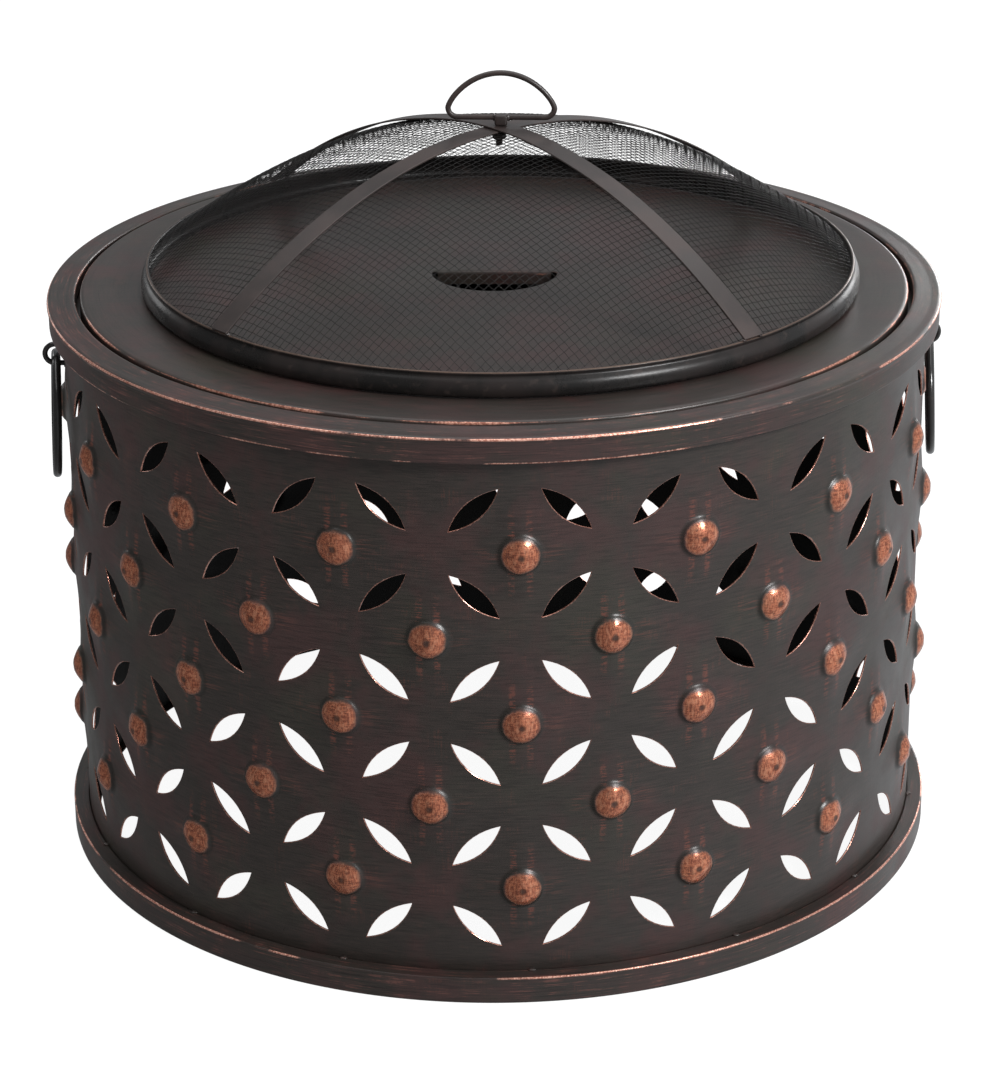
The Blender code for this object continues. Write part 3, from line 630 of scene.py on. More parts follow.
def unit_cell():
    """One lattice cell with studs at its lower right and upper left corners, in micrometres."""
    c = 72160.0
    rings = [(1500, 4), (3000, 5), (5000, 7), (7400, 7), (9600, 7), (11500, 7), (13100, 7), (14300, 7),
             (15200, 7), (15800, 7), (16600, 7), (18200, 7), (20400, 6), (24500, 6)]
    along = [0] + [r for r, _ in rings] + [28500, 34000, 39800, 45800, 52000, 58500, 65200, c]
    pts, edges = [], []

    def put(x, z):
        pts.append((round(x), round(z)))
        return len(pts) - 1

    bottom = [put(c - a, 0) for a in reversed(along)]           # left to right
    right = [bottom[-1]] + [put(c, a) for a in along[1:]]       # bottom to top
    top = [right[-1]] + [put(a, c) for a in reversed(along[:-1])]   # right to left
    left = [top[-1]] + [put(0, c - a) for a in along[1:-1]] + [bottom[0]]  # top to bottom
    border = bottom + right[1:] + top[1:] + left[1:-1]
    edges += [(border[i], border[(i + 1) % len(border)]) for i in range(len(border))]
    for r, n in rings:
        for k in range(1, n):
            a = math.pi / 2 * k / n
            put(c - r * math.cos(a), r * math.sin(a))
            put(r * math.cos(a), c - r * math.sin(a))
    ax, az = 0.0193 / PETAL_L, 0.0177 / PETAL_L
    n = 13
    hole = lens(c / 2, c / 2, ax, az, PETAL_L * 1e6, PETAL_W * 1e6, n)
    lip = lens(c / 2, c / 2, ax, az, PETAL_L * 1e6 + 620, PETAL_W * 1e6 + 420, n)
    a_ring = [put(x, z) for x, z in lip]
    edges += [(a_ring[i], a_ring[(i + 1) % len(a_ring)]) for i in range(len(a_ring))]
    for grow, count in ((1500, 13), (3800, 10)):
        for x, z in lens(c / 2, c / 2, ax, az, PETAL_L * 1e6 + grow * 1.3, PETAL_W * 1e6 + grow, count):
            put(x, z)
    step = 5550.0
    base = np.array(pts, float)
    count = int(c // step)
    for i in range(count + 1):
        for j in range(count + 1):
            x, z = (i + 0.5) * c / (count + 1), (j + 0.5) * c / (count + 1)
            gap = np.hypot(base[:, 0] - x, base[:, 1] - z).min()
            la = ((x - c / 2) * ax + (z - c / 2) * az) / (PETAL_L * 1e6 + 5500)
            wa = abs(-(x - c / 2) * az + (z - c / 2) * ax)
            in_leaf = abs(la) < 1 and wa < (PETAL_W * 1e6 + 3900) * (1 - la * la) + 600
            near = min(math.hypot(c - x, z), math.hypot(x, c - z)) < 24500
            if gap > 3300 and not in_leaf and not near:
                put(x, z)
    got = delaunay_2d_cdt([Vector((x / 1000, z / 1000)) for x, z in pts], edges, [], 0, 1e-6)
    where = {}
    for i, orig in enumerate(got[3]):
        where[i] = orig[0]
    tris = []
    ring = [Vector((pts[i][0] / 1000, pts[i][1] / 1000)) for i in a_ring]
    for f in got[2]:
        t = [where[i] for i in f]
        mid = sum((Vector(pts[i]) for i in t), Vector((0, 0))) / 3000
        la = ((mid.x - c / 2000) * ax + (mid.y - c / 2000) * az) / (PETAL_L * 1e3 + 0.62)
        wa = abs(-(mid.x - c / 2000) * az + (mid.y - c / 2000) * ax)
        if abs(la) < 1 and wa < (PETAL_W * 1e3 + 0.42) * (1 - la * la) and set(t) <= set(a_ring):
            continue
        p0, p1, p2 = (Vector(pts[i]) for i in t)
        if (p1 - p0).cross(p2 - p0) < 0:
            t = [t[0], t[2], t[1]]
        tris.append(t)
    return np.array(pts, np.int64), np.array(tris, np.int64), np.array(a_ring), \
        np.array([(round(x), round(z)) for x, z in hole], np.int64), along


def drum_half(name, columns, unit):
    pts, tris, a_ring, hole, along = unit
    c = 72160
    keys, all_tris, rings, holes = [], [], [], []
    base = 0
    for column in columns:
        for row in range(ROWS):
            even = (column + row) % 2 == 0
            px = pts[:, 0] if even else c - pts[:, 0]
            hx = hole[:, 0] if even else c - hole[:, 0]
            keys.append(np.c_[column * c + px, row * c + pts[:, 1]])
            holes.append(np.c_[column * c + hx, row * c + hole[:, 1]])
            t = tris if even else tris[:, ::-1]
            all_tris.append(t + base)
            rings.append(a_ring + base)
            base += len(pts)
        # plain bands under and over the lattice, on the same stations
        stations = sorted(set([c - a for a in along])) if column % 2 == 0 else sorted(set(along))
        for low, high, parity in ((round((DRUM_LOW - LATTICE_LOW) * 1e6), 0, 0),
                                  (ROWS * c, round((DRUM_HIGH - LATTICE_LOW) * 1e6), ROWS)):
            if high == 0 or low == ROWS * c:
                # the border of row 0 counts from its lower right when even, the top border of row 5 from its upper left
                row = 0 if high == 0 else ROWS - 1
                even = (column + row) % 2 == 0
                if row == 0:
                    st = [c - a for a in along] if even else list(along)
                else:
                    st = list(along) if even else [c - a for a in along]
                st = sorted(round(a) for a in st)
            levels = [low, low + (high - low) // 3, low + 2 * (high - low) // 3, high]
            block = np.array([(column * c + s, z) for z in levels for s in st], np.int64)
            n = len(st)
            t = []
            for j in range(3):
                for i in range(n - 1):
                    a, b = j * n + i, j * n + i + 1
                    d, e = a + n, b + n
                    t += [(a, b, e), (a, e, d)]
            keys.append(block)
            all_tris.append(np.array(t, np.int64) + base)
            base += len(block)
    keys = np.vstack(keys)
    tris_all = np.vstack(all_tris)
    packed = keys[:, 0] * 10_000_000 + (keys[:, 1] + 1_000_000)
    _, first, inverse = np.unique(packed, return_index=True, return_inverse=True)
    inverse = inverse.reshape(-1)
    flat = keys[first]
    tris_all = inverse[tris_all]
    good = (tris_all[:, 0] != tris_all[:, 1]) & (tris_all[:, 1] != tris_all[:, 2]) & (tris_all[:, 2] != tris_all[:, 0])
    tris_all = tris_all[good]
    n = len(flat)
    s, z = flat[:, 0] / 1e6, LATTICE_LOW + flat[:, 1] / 1e6
    h = relief(s, z)
    angle = TAU * s / (COLUMNS * CELL)
    outer = np.c_[(DRUM_R + h) * np.sin(angle), -(DRUM_R + h) * np.cos(angle), z]
    ri = DRUM_R + h - SHEET
    inner = np.c_[ri * np.sin(angle), -ri * np.cos(angle), z]
    hp = np.vstack(holes)
    hs, hz = hp[:, 0] / 1e6, LATTICE_LOW + hp[:, 1] / 1e6
    hh, ha = relief(hs, hz), TAU * hp[:, 0] / 1e6 / (COLUMNS * CELL)
    low = DRUM_R + hh - 0.00040
    edge_out = np.c_[low * np.sin(ha), -low * np.cos(ha), hz]
    low2 = DRUM_R + hh - SHEET
    edge_in = np.c_[low2 * np.sin(ha), -low2 * np.cos(ha), hz]
    m = len(hp)
    verts = np.vstack([outer, inner, edge_out, edge_in])
    worn = np.zeros(len(verts))
    on_ring = np.full(n, -1, np.int64)
    k = 0
    for r in rings:
        idx = inverse[r]
        on_ring[idx] = np.arange(k, k + len(idx))
        k += len(idx)
    worn[:n][on_ring >= 0] = 0.44
    worn[n:2 * n][on_ring >= 0] = 0.30
    worn[2 * n:] = 1.0
    faces = [tris_all, tris_all[:, ::-1] + n]
    e = np.vstack([tris_all[:, [0, 1]], tris_all[:, [1, 2]], tris_all[:, [2, 0]]])
    code = np.minimum(e[:, 0], e[:, 1]) * (n + 1) + np.maximum(e[:, 0], e[:, 1])
    _, idx, cnt = np.unique(code, return_index=True, return_counts=True)
    rim = e[idx[cnt == 1]]
    hole_edge = (on_ring[rim[:, 0]] >= 0) & (on_ring[rim[:, 1]] >= 0)
    quads = []
    for i, j in rim[hole_edge]:
        a, b = 2 * n + on_ring[i], 2 * n + on_ring[j]
        quads += [(j, i, a, b), (b, a, a + m, b + m), (b + m, a + m, n + i, n + j)]
    for i, j in rim[~hole_edge]:
        quads.append((j, i, n + i, n + j))
    all_faces = [tuple(f) for f in np.vstack(faces).tolist()] + [tuple(int(q) for q in f) for f in quads]
    ob = make(name, verts, all_faces, BRONZE_DRUM, "drum", ("drum_shell",), "aged_bronze",
              smooth=38.0, worn=worn)
    # the inside is unrubbed sheet, darkened to matt near-black as painted shade for the unlit inside of the drum
    ob.data.materials.append(INSIDE_SHADED)
    index = np.zeros(len(ob.data.polygons), np.int32)
    index[len(tris_all):2 * len(tris_all)] = 1
    ob.data.polygons.foreach_set("material_index", index)
    return ob


unit = unit_cell()
drum_half("drum_sheet_front", [24, 25, 26, 27, 28, 29, 30, 31, 32, 33, 34, 35, 36, 37, 38, 39], unit)
drum_half("drum_sheet_back", list(range(8, 24)), unit)

# ---------------------------------------------------------------- base ring, rim, ledge
T = 0.0015
base_profile = rounded([
    (0.3600, 0.0, 0.0), (BASE_R, 0.0, 0.35), (BASE_R, BASE_H, 0.92),
    (DRUM_R + 0.0006, BASE_H, 0.15), (DRUM_R + 0.0006, BASE_H - T, 0), (BASE_R - T, BASE_H - T, 0),
    (BASE_R - T, T, 0), (0.3600, T, 0)], 0.0011, 4)
lathe("base_ring_rolled", base_profile, 256, BRONZE_PLAIN, "drum", nodes=("base_ring",),
      slot="aged_bronze", smooth=50)
beads = []
for k, deg in enumerate((-46.5, -23.0, 1.2, 29.0, 52.0, 78.0, 101.0, 124.5, 148.0, 171.0,
                         194.0, 217.5, 242.0, 266.0, 290.0)):
    a = math.radians(deg)
    x, y, _ = around(DRUM_R + 0.0012, a, 0)
    beads.append(bead((x, y, BASE_H + 0.0002), (0.0034, 0.0024, 0.0013), 1.3 * k + 0.4))
v, f = join(*beads)
make("base_weld_spots", v, f, BRONZE_PLAIN, "drum", slot="aged_bronze", smooth=70,
     worn=np.full(len(v), 0.34))

rim_profile = rounded([
    (RIM_R - 0.0012, SKIRT_LOW, 0.66), (RIM_R - 0.0012, RIM_Z - 0.0040, 0.10),
    (RIM_R, RIM_Z - 0.0022, 0.45), (RIM_R - 0.0002, RIM_Z - 0.0004, 1.0),
    (RIM_R - 0.0022, RIM_Z + 0.0009, 0.30), (0.3720, 0.4885, 0.0),
    (0.3585, 0.4903, 0.36), (RIM_IN, 0.4890, 0.58), (RIM_IN, 0.4780, 0.1),
    (RIM_IN + T, 0.4780, 0), (RIM_IN + T, 0.4886, 0),
    (RIM_R - 0.0014 - T, RIM_Z - 0.0010, 0), (RIM_R - 0.0014 - T, SKIRT_LOW, 0.3)], 0.0010, 3, 0.0015)
lathe("rim_ring_pressed", rim_profile, 256, BRONZE_RIM, "drum", nodes=("top_rim_ring",),
      slot="aged_bronze", smooth=50)
ledge = rounded([
    (DRUM_R - SHEET - 0.0008, 0.4550, 0.2), (DRUM_R - SHEET - 0.0008, LEDGE_TOP, 0.3),
    (LEDGE_IN, LEDGE_TOP, 0.5), (LEDGE_IN, LEDGE_TOP - T, 0.2),
    (DRUM_R - SHEET - 0.0008 - T, LEDGE_TOP - T, 0), (DRUM_R - SHEET - 0.0008 - T, 0.4550, 0.1)],
    0.0006, 3)
lathe("bowl_ledge_angle", ledge, 192, BRONZE_PLAIN, "drum", nodes=("bowl_ledge_ring",),
      slot="aged_bronze", smooth=50)

# ---------------------------------------------------------------- pull rings and eyelets
for name, side in (("right", 1.0), ("left", -1.0)):
    low = HINGE_Z - RING_WIRE - 0.0003 - STAPLE_WIRE
    bend = 0.0085
    centre = STAPLE_OUT - STAPLE_WIRE - bend
    path = [(side * (DRUM_R - 0.0004), 0, low + 2 * bend), (side * (centre - 0.0015), 0, low + 2 * bend)]
    for k in range(25):
        a = math.radians(90 - 7.5 * k)
        path.append((side * (centre + bend * math.cos(a)), 0, low + bend + bend * math.sin(a)))
    path += [(side * (centre - 0.0015), 0, low), (side * (DRUM_R - 0.0004), 0, low)]
    v, f = tube_data(path, STAPLE_WIRE, 14)
    extra = []
    for z, s in ((low, 1.0), (low + 2 * bend, 2.0)):
        extra.append(bead((side * (DRUM_R + 0.0006), 0, z), (0.0016, 0.0042, 0.0038), s + side))
    v, f = join((v, f), *extra)
    make("eyelet_wire_" + name, v, f, ENAMEL_GLOSS, "drum", ("handle_eyelet_" + name,),
         "black_enamel", smooth=60)
    lean = math.radians(2.6)
    ring = []
    for k in range(96):
        a = TAU * k / 96
        drop = -RING_R + RING_R * math.cos(a)
        ring.append((-side * drop * math.sin(lean), RING_R * math.sin(a), drop * math.cos(lean)))
    v, f = tube_data(ring, RING_WIRE, 20, closed=True)
    make("pull_ring_wire_" + name, v, f, ENAMEL_GLOSS, "pull_ring_" + name, ("pull_ring_" + name,),
         "black_enamel", smooth=60, turn=side * -RING_TURN[name],
         at=(side * RING_X[name], 0, HINGE_Z))

# ---------------------------------------------------------------- bowl and grate
BOWL_Z, MOUTH, FLANGE, DEPTH = LEDGE_TOP + 0.0003, 0.3340, 0.3520, 0.1400
sphere = (MOUTH ** 2 + DEPTH ** 2) / (2 * DEPTH)
bowl_low = BOWL_Z - DEPTH


def bowl_height(r):
    return sphere - math.sqrt(sphere ** 2 - r ** 2)


steps = [MOUTH * k / 26 for k in range(26)]
under = [(r, bowl_low + bowl_height(r), 0.0) for r in steps]
over = [(r * (1 - SHEET / sphere), bowl_low + SHEET + bowl_height(r) * (1 - SHEET / sphere), 0.0)
        for r in steps]
outline = under + [(MOUTH - 0.0006, BOWL_Z - 0.0002, 0), (MOUTH + 0.0008, BOWL_Z, 0),
                   (FLANGE - 0.0006, BOWL_Z, 0), (FLANGE, BOWL_Z + 0.0006, 0),
                   (FLANGE - 0.0006, BOWL_Z + SHEET, 0), (MOUTH + 0.0006, BOWL_Z + SHEET, 0),
                   (MOUTH - 0.0016, BOWL_Z + SHEET - 0.0006, 0)] + over[::-1]
lathe("fire_bowl_dish", outline, 160, HOT, "bowl", closed=False, nodes=("fire_bowl",),
      slot="bare_hot_steel", smooth=40)

GRATE_R, ROD = 0.2000, 0.0040
floor_z = bowl_low + SHEET + bowl_height(GRATE_R + ROD + 0.002)
foot_low = floor_z + 0.0008
ring_z = foot_low + 0.0200 + 0.0003 + ROD
bar_z = ring_z + 2 * ROD + 0.0003
circle = [around(GRATE_R, TAU * k / 144, ring_z) for k in range(144)]
v, f = tube_data(circle, ROD, 14, closed=True)
make("grate_ring_rod", v, f, HOT, "grate", ("grate_ring",), "bare_hot_steel", smooth=60)
for k in range(7):
    y = (k - 3) * 0.05
    half = math.sqrt(GRATE_R ** 2 - y ** 2) + 0.006
    pts, radii = domed_ends([(-half, y, bar_z), (-half / 2, y, bar_z), (0, y, bar_z),
                             (half / 2, y, bar_z), (half, y, bar_z)], ROD)
    v, f = tube_data(pts, radii, 14)
    welds = []
    edge = math.sqrt(GRATE_R ** 2 - y ** 2)
    for s in (-1, 1):
        welds.append(bead((s * edge, y + 0.0036, ring_z + ROD + 0.0004), (0.0036, 0.0022, 0.0022), k + s))
        welds.append(bead((s * edge, y - 0.0036, ring_z + ROD + 0.0004), (0.0036, 0.0022, 0.0022), 2 * k + s))
    v, f = join((v, f), *welds)
    make("grate_bar_rod_%d" % (k + 1), v, f, HOT, "grate", ("grate_bar_%d" % (k + 1),),
         "bare_hot_steel", smooth=60)
for k in range(4):
    x, y, _ = around(GRATE_R, math.radians(45 + 90 * k), 0)
    pts, radii = domed_ends([(x, y, foot_low), (x, y, foot_low + 0.010), (x, y, foot_low + 0.0200)], ROD * 1.2, 3)
    v, f = tube_data(pts, radii, 14)
    v, f = join((v, f), bead((x, y, foot_low + 0.0195), (0.0062, 0.0062, 0.0022), 3.0 + k))
    make("grate_foot_rod_%d" % (k + 1), v, f, HOT, "grate", ("grate_foot_%d" % (k + 1),),
         "bare_hot_steel", smooth=60)

# ---------------------------------------------------------------- lid
SLOT_HALF, SLOT_BACK, SLOT_FRONT = 0.0540, 0.0160, -0.0380


def slot_outline(grow=0.0):
    """The D-shaped hand slot: a straight back with clipped corners and a bowed front."""
    half, back, front = SLOT_HALF + grow, SLOT_BACK + grow, SLOT_FRONT - grow
    side = SLOT_BACK - 0.0060
    pts = []
    for k in range(41):
        t = -1 + 2 * k / 40
        pts.append((half * math.sin(math.pi / 2 * t),
                    side + grow * 0.4 - (side + grow * 0.4 - front) * (1 - abs(math.sin(math.pi / 2 * t)) ** 2.1) ** 0.62))
    corner = [(half, side + grow * 0.4), (half - 0.0006, side + 0.0030 + grow * 0.7),
              (half - 0.0024, back - 0.0008), (half - 0.0060, back)]
    pts = pts[:-1] + corner
    for k in range(1, 12):
        pts.append((half - 0.0060 - (2 * half - 0.012) * k / 12, back))
    pts += [(-half + 0.0060, back), (-half + 0.0024, back - 0.0008), (-half + 0.0006, side + 0.0030 + grow * 0.7)]
    return pts


def lid_plate():
    seg = 192
    inner_r = 0.115
    lip = slot_outline(0.0007)
    edge = slot_outline(0.0)
    pts = [(inner_r * math.sin(TAU * i / seg), -inner_r * math.cos(TAU * i / seg)) for i in range(seg)]
    n0 = len(pts)
    for grow, keep in ((0.0035, 1), (0.010, 2), (0.022, 3)):
        pts += slot_outline(grow)[::keep]
    n1 = len(pts)
    pts += lip
    n2 = len(pts)
    edges = [(i, (i + 1) % seg) for i in range(seg)]
    edges += [(n1 + i, n1 + (i + 1) % len(lip)) for i in range(len(lip))]
    got = delaunay_2d_cdt([Vector((x * 1000, y * 1000)) for x, y in pts], edges, [], 0, 1e-6)
    where = [o[0] for o in got[3]]

    def inside(x, y, ring):
        hit = False
        for a, b in zip(ring, ring[1:] + ring[:1]):
            if (a[1] > y) != (b[1] > y) and x < a[0] + (b[0] - a[0]) * (y - a[1]) / (b[1] - a[1]):
                hit = not hit
        return hit
    verts = [(x, y, LID_TOP) for x, y in pts]
    worn = [0.0] * n1 + [0.25] * (n2 - n1)
    tris = []
    for face in got[2]:
        t = [where[i] for i in face]
        mx = sum(pts[i][0] for i in t) / 3
        my = sum(pts[i][1] for i in t) / 3
        if inside(mx, my, lip):
            continue
        a, b, c = (Vector(pts[i]) for i in t)
        if (b - a).cross(c - a) < 0:
            t.reverse()
        tris.append(tuple(t))
    low = len(verts)
    verts += [(x, y, LID_TOP - SHEET) for x, y in pts]
    worn += [0.0] * len(pts)
    faces = tris + [tuple(i + low for i in reversed(t)) for t in tris]
    e0 = len(verts)
    verts += [(x, y, LID_TOP - 0.0004) for x, y in edge]
    worn += [0.55] * len(edge)
    e1 = len(verts)
    verts += [(x, y, LID_TOP - SHEET) for x, y in edge]
    worn += [0.2] * len(edge)
    m = len(edge)
    for i in range(m):
        j = (i + 1) % m
        faces.append((n1 + i, n1 + j, e0 + j, e0 + i))
        faces.append((e0 + i, e0 + j, e1 + j, e1 + i))
        faces.append((e1 + i, e1 + j, low + n1 + j, low + n1 + i))
    # out to the rolled edge, spun
    profile = [(inner_r, LID_TOP, 0), (0.16, LID_TOP, 0), (0.21, LID_TOP, 0), (0.26, LID_TOP, 0),
               (0.31, LID_TOP, 0), (0.340, LID_TOP, 0), (0.3488, LID_TOP, 0.0), (0.3502, LID_TOP - 0.0001, 0.10),
               (0.3514, LID_TOP - 0.0004, 0.45), (0.3524, LID_TOP - 0.0012, 0.95), (0.3529, LID_TOP - 0.0024, 0.60),
               (LID_R, LID_TOP - 0.0040, 0.10), (LID_R, LID_TOP - 0.0080, 0.0), (LID_R, LID_LOW + 0.0020, 0.0),
               (LID_R, LID_LOW + 0.0003, 0.5), (LID_R - 0.0003, LID_LOW, 0.5),
               (LID_R - SHEET + 0.0003, LID_LOW, 0), (LID_R - SHEET, LID_LOW + 0.0003, 0),
               (LID_R - SHEET, LID_TOP - 0.0040, 0), (0.3512, LID_TOP - 0.0022, 0), (0.3500, LID_TOP - SHEET, 0),
               (0.340, LID_TOP - SHEET, 0), (0.31, LID_TOP - SHEET, 0), (0.26, LID_TOP - SHEET, 0),
               (0.21, LID_TOP - SHEET, 0), (0.16, LID_TOP - SHEET, 0), (inner_r, LID_TOP - SHEET, 0)]
    index = [list(range(seg))]
    for r, z, w in profile[1:-1]:
        b = len(verts)
        index.append([b + i for i in range(seg)])
        for i in range(seg):
            verts.append(around(r, TAU * i / seg, z))
            worn.append(w)
    index.append([low + i for i in range(seg)])
    for one, two in zip(index, index[1:]):
        for i in range(seg):
            k = (i + 1) % seg
            faces.append((one[k], one[i], two[i], two[k]))
    return verts, faces, worn


v, f, w = lid_plate()
# every face was laid with its outside up; the loops below keep one winding throughout
lid = make("lid_pressed", v, f, LID_MAT, "lid", ("table_lid", "lid_grip_plate", "lid_edge_ring"), "lid_bronze",
           smooth=45, worn=w, turn=LID_TURN)

# the metal cut from the slot, folded down along its straight side
fold = []
width = 0.0488
prof = []
for k in range(9):
    a = math.pi / 2 * k / 8
    prof.append((SLOT_BACK + 0.0004 - 0.0024 * math.sin(a), LID_TOP - 0.0024 - 0.0001 + 0.0024 * math.cos(a)))
prof += [(SLOT_BACK - 0.0020, LID_TOP - 0.0060), (SLOT_BACK - 0.0020, LID_TOP - 0.0100),
         (SLOT_BACK - 0.0021, LID_TOP - 0.0112)]
fv, ff = [], []
cols = 24
for i in range(cols + 1):
    x = -width + 2 * width * i / cols
    for y, z in prof:
        fv.append((x, y, z))
    for y, z in reversed(prof):
        back = 0.0010
        fv.append((x, y + back * (1.0 if z < LID_TOP - 0.0024 else (LID_TOP - 0.0001 - z) / 0.0024),
                   min(z, LID_TOP - 0.0001 - 0.0009)))
np_ = 2 * len(prof)
for i in range(cols):
    for j in range(np_):
        a, b = i * np_ + j, i * np_ + (j + 1) % np_
        ff.append((a, b, b + np_, a + np_))
ff.append(tuple(range(np_))[::-1])
ff.append(tuple(cols * np_ + j for j in range(np_)))
fw = []
for i in range(cols + 1):
    fw += [0.5 if k in (6, 7, 8) else 0.0 for k in range(len(prof))] + [0.0] * len(prof)
make("lid_slot_fold", fv, ff, LID_MAT, "lid", slot="lid_bronze", smooth=50, worn=fw, turn=LID_TURN)

# ---------------------------------------------------------------- spark screen
AT = (SCREEN_X, 0, 0)
ring_profile = [
    (0.3000, SCREEN_LOW, 0), (0.3022, SCREEN_LOW + 0.0002, 0), (0.3042, SCREEN_LOW + 0.0010, 0),
    (0.3054, SCREEN_LOW + 0.0024, 0), (0.3060, SCREEN_LOW + 0.0044, 0), (0.3060, 0.4982, 0), (0.3059, 0.5000, 0),
    (0.3055, 0.5018, 0), (0.3048, 0.5036, 0), (0.3038, 0.5052, 0), (0.3028, 0.5064, 0),
    (0.3019, 0.5074, 0.0), (0.3013, 0.5082, 0), (0.3011, 0.5090, 0), (0.3013, 0.5098, 0), (0.3016, 0.5106, 0.1),
    (0.3015, 0.5114, 0.55), (0.3010, 0.5120, 0.75), (0.3003, 0.5122, 0.6), (0.2994, 0.5121, 0.35), (0.2988, 0.5115, 0.1),
    (0.2986, 0.5105, 0), (0.2988, 0.5092, 0), (0.2998, 0.5078, 0), (0.3012, 0.5060, 0), (0.3028, 0.5036, 0),
    (0.3040, 0.5012, 0), (0.3045, 0.4990, 0), (0.3045, SCREEN_LOW + 0.0050, 0), (0.3038, SCREEN_LOW + 0.0030, 0),
    (0.3022, SCREEN_LOW + 0.0018, 0), (0.3000, SCREEN_LOW + 0.0014, 0)]
lathe("screen_ring_rolled", ring_profile, 256, ENAMEL, "screen", nodes=("screen_ring",),
      slot="black_enamel", smooth=60, turn=SCREEN_TURN, at=AT)


def dome(r, top, edge, reach):
    return top - (top - edge) * (r / reach) ** 2.1


PITCH, WIRE = 0.00570, 0.00026


def woven(name, turn, sign, nodes):
    """One set of parallel wires of the woven dome, passing over and under the other set."""
    count = int(MESH_R / PITCH)
    sides = 5
    verts, faces = [], []
    for k in range(-count, count + 1):
        b = (k + 0.15) * PITCH
        reach = math.sqrt(max(0.0, (MESH_R + 0.0008) ** 2 - b * b))
        first, last = math.ceil(-reach / PITCH - 0.15), math.floor(reach / PITCH - 0.15)
        stations = [(j + 0.15) * PITCH for j in range(first, last + 1)]
        if len(stations) < 2:
            continue
        wave = [sign * (1 if (j + k) % 2 == 0 else -1) for j in range(first, last + 1)]
        if stations[0] + reach > 0.0012:
            stations.insert(0, -reach)
            wave.insert(0, 0)
        if reach - stations[-1] > 0.0012:
            stations.append(reach)
            wave.append(0)
        a = np.array(stations)
        r = np.hypot(a, b)
        th = np.arctan2(b, a)
        q = np.clip(r / MESH_R, 0, 1)
        sag = 0.0026 * np.sin(2 * th) ** 2 * np.sin(math.pi * q ** 1.15) ** 1.2
        z = dome(np.minimum(r, MESH_R), MESH_TOP, MESH_EDGE, MESH_R) - 0.00095 - sag + np.array(wave) * WIRE * 0.95
        centre = np.c_[a, np.full(len(a), b), z]
        tang = np.gradient(centre, axis=0)
        tang /= np.linalg.norm(tang, axis=1)[:, None]
        side = np.array((0.0, 1.0, 0.0))
        up = np.cross(tang, side)
        up /= np.linalg.norm(up, axis=1)[:, None]
        base = len(verts)
        for i in range(len(a)):
            for s in range(sides):
                t = TAU * (s + 0.25) / sides
                p = centre[i] + WIRE * (math.cos(t) * side + math.sin(t) * up[i])
                verts.append(p)
        for i in range(len(a) - 1):
            for s in range(sides):
                n = (s + 1) % sides
                faces.append((base + i * sides + s, base + (i + 1) * sides + s,
                              base + (i + 1) * sides + n, base + i * sides + n))
        faces.append(tuple(base + s for s in range(sides)))
        end = base + (len(a) - 1) * sides
        faces.append(tuple(end + s for s in range(sides))[::-1])
    v = np.array(verts)
    return make(name, v, faces, MESH_MAT, "screen", nodes, "black_mesh", smooth=80,
                turn=SCREEN_TURN + turn, at=AT)


woven("screen_wires_warp", math.radians(46.0), 1, ("screen_mesh", "screen_mesh_crown"))
woven("screen_wires_weft", math.radians(-44.0), -1, ("screen_mesh", "screen_mesh_crown"))


def strap(name, turn, lift, node):
    """A flat bar bent over the dome, its long edges eased, its ends welded on the ring."""
    half_w, thick, ease = 0.0100, 0.0015, 0.0004
    section = [(-half_w + ease, 0), (half_w - ease, 0), (half_w, ease), (half_w, thick - ease),
               (half_w - ease, thick), (half_w - 0.002, thick), (-half_w + 0.002, thick),
               (-half_w + ease, thick), (-half_w, thick - ease), (-half_w, ease)]
    wear = [0, 0, 0, 0.3, 0.45, 0, 0, 0.45, 0.3, 0]
    n = 84
    verts, worn = [], []
    for i in range(n + 1):
        s = -STRAP_REACH + 2 * STRAP_REACH * i / n
        r = abs(s)
        z = dome(r, MESH_TOP + 0.0006, 0.5122 + 0.0006, STRAP_REACH)
        t = min(1.0, max(0.0, (r - 0.016) / 0.094))
        z += lift * (1 - t * t * (3 - 2 * t))
        # slope for the section's tilt
        d = 1e-4
        z2 = dome(min(r + d, STRAP_REACH), MESH_TOP + 0.0006, 0.5128, STRAP_REACH)
        z1 = dome(max(r - d, 0), MESH_TOP + 0.0006, 0.5128, STRAP_REACH)
        slope = (z2 - z1) / (min(r + d, STRAP_REACH) - max(r - d, 0)) * (1 if s >= 0 else -1)
        tilt = math.atan(slope)
        for (w, h), e in zip(section, wear):
            verts.append((s - h * math.sin(tilt), w, z + h * math.cos(tilt)))
            worn.append(e)
    m = len(section)
    faces = []
    for i in range(n):
        for j in range(m):
            a, b = i * m + j, i * m + (j + 1) % m
            faces.append((a, a + m, b + m, b))
    faces.append(tuple(range(m)))
    faces.append(tuple(n * m + j for j in range(m))[::-1])
    parts = [(verts, faces)]
    for s in (-1, 1):
        for w in (-0.0090, 0.0085):
            parts.append(bead((s * (STRAP_REACH - 0.0008), w, 0.5124), (0.0016, 0.0022, 0.0013), s + w * 300))
    extra = sum(len(p[0]) for p in parts[1:])
    v, f = join(*parts)
    return make(name, v, f, ENAMEL_STRAP, "screen", (node,), "black_enamel", smooth=40,
                worn=worn + [0.15] * extra, turn=SCREEN_TURN + turn, at=AT)


strap("screen_strap_bar_lower", math.radians(45), 0.0, "screen_strap_lower")
strap("screen_strap_bar_upper", math.radians(-45), 0.0018, "screen_strap_upper")

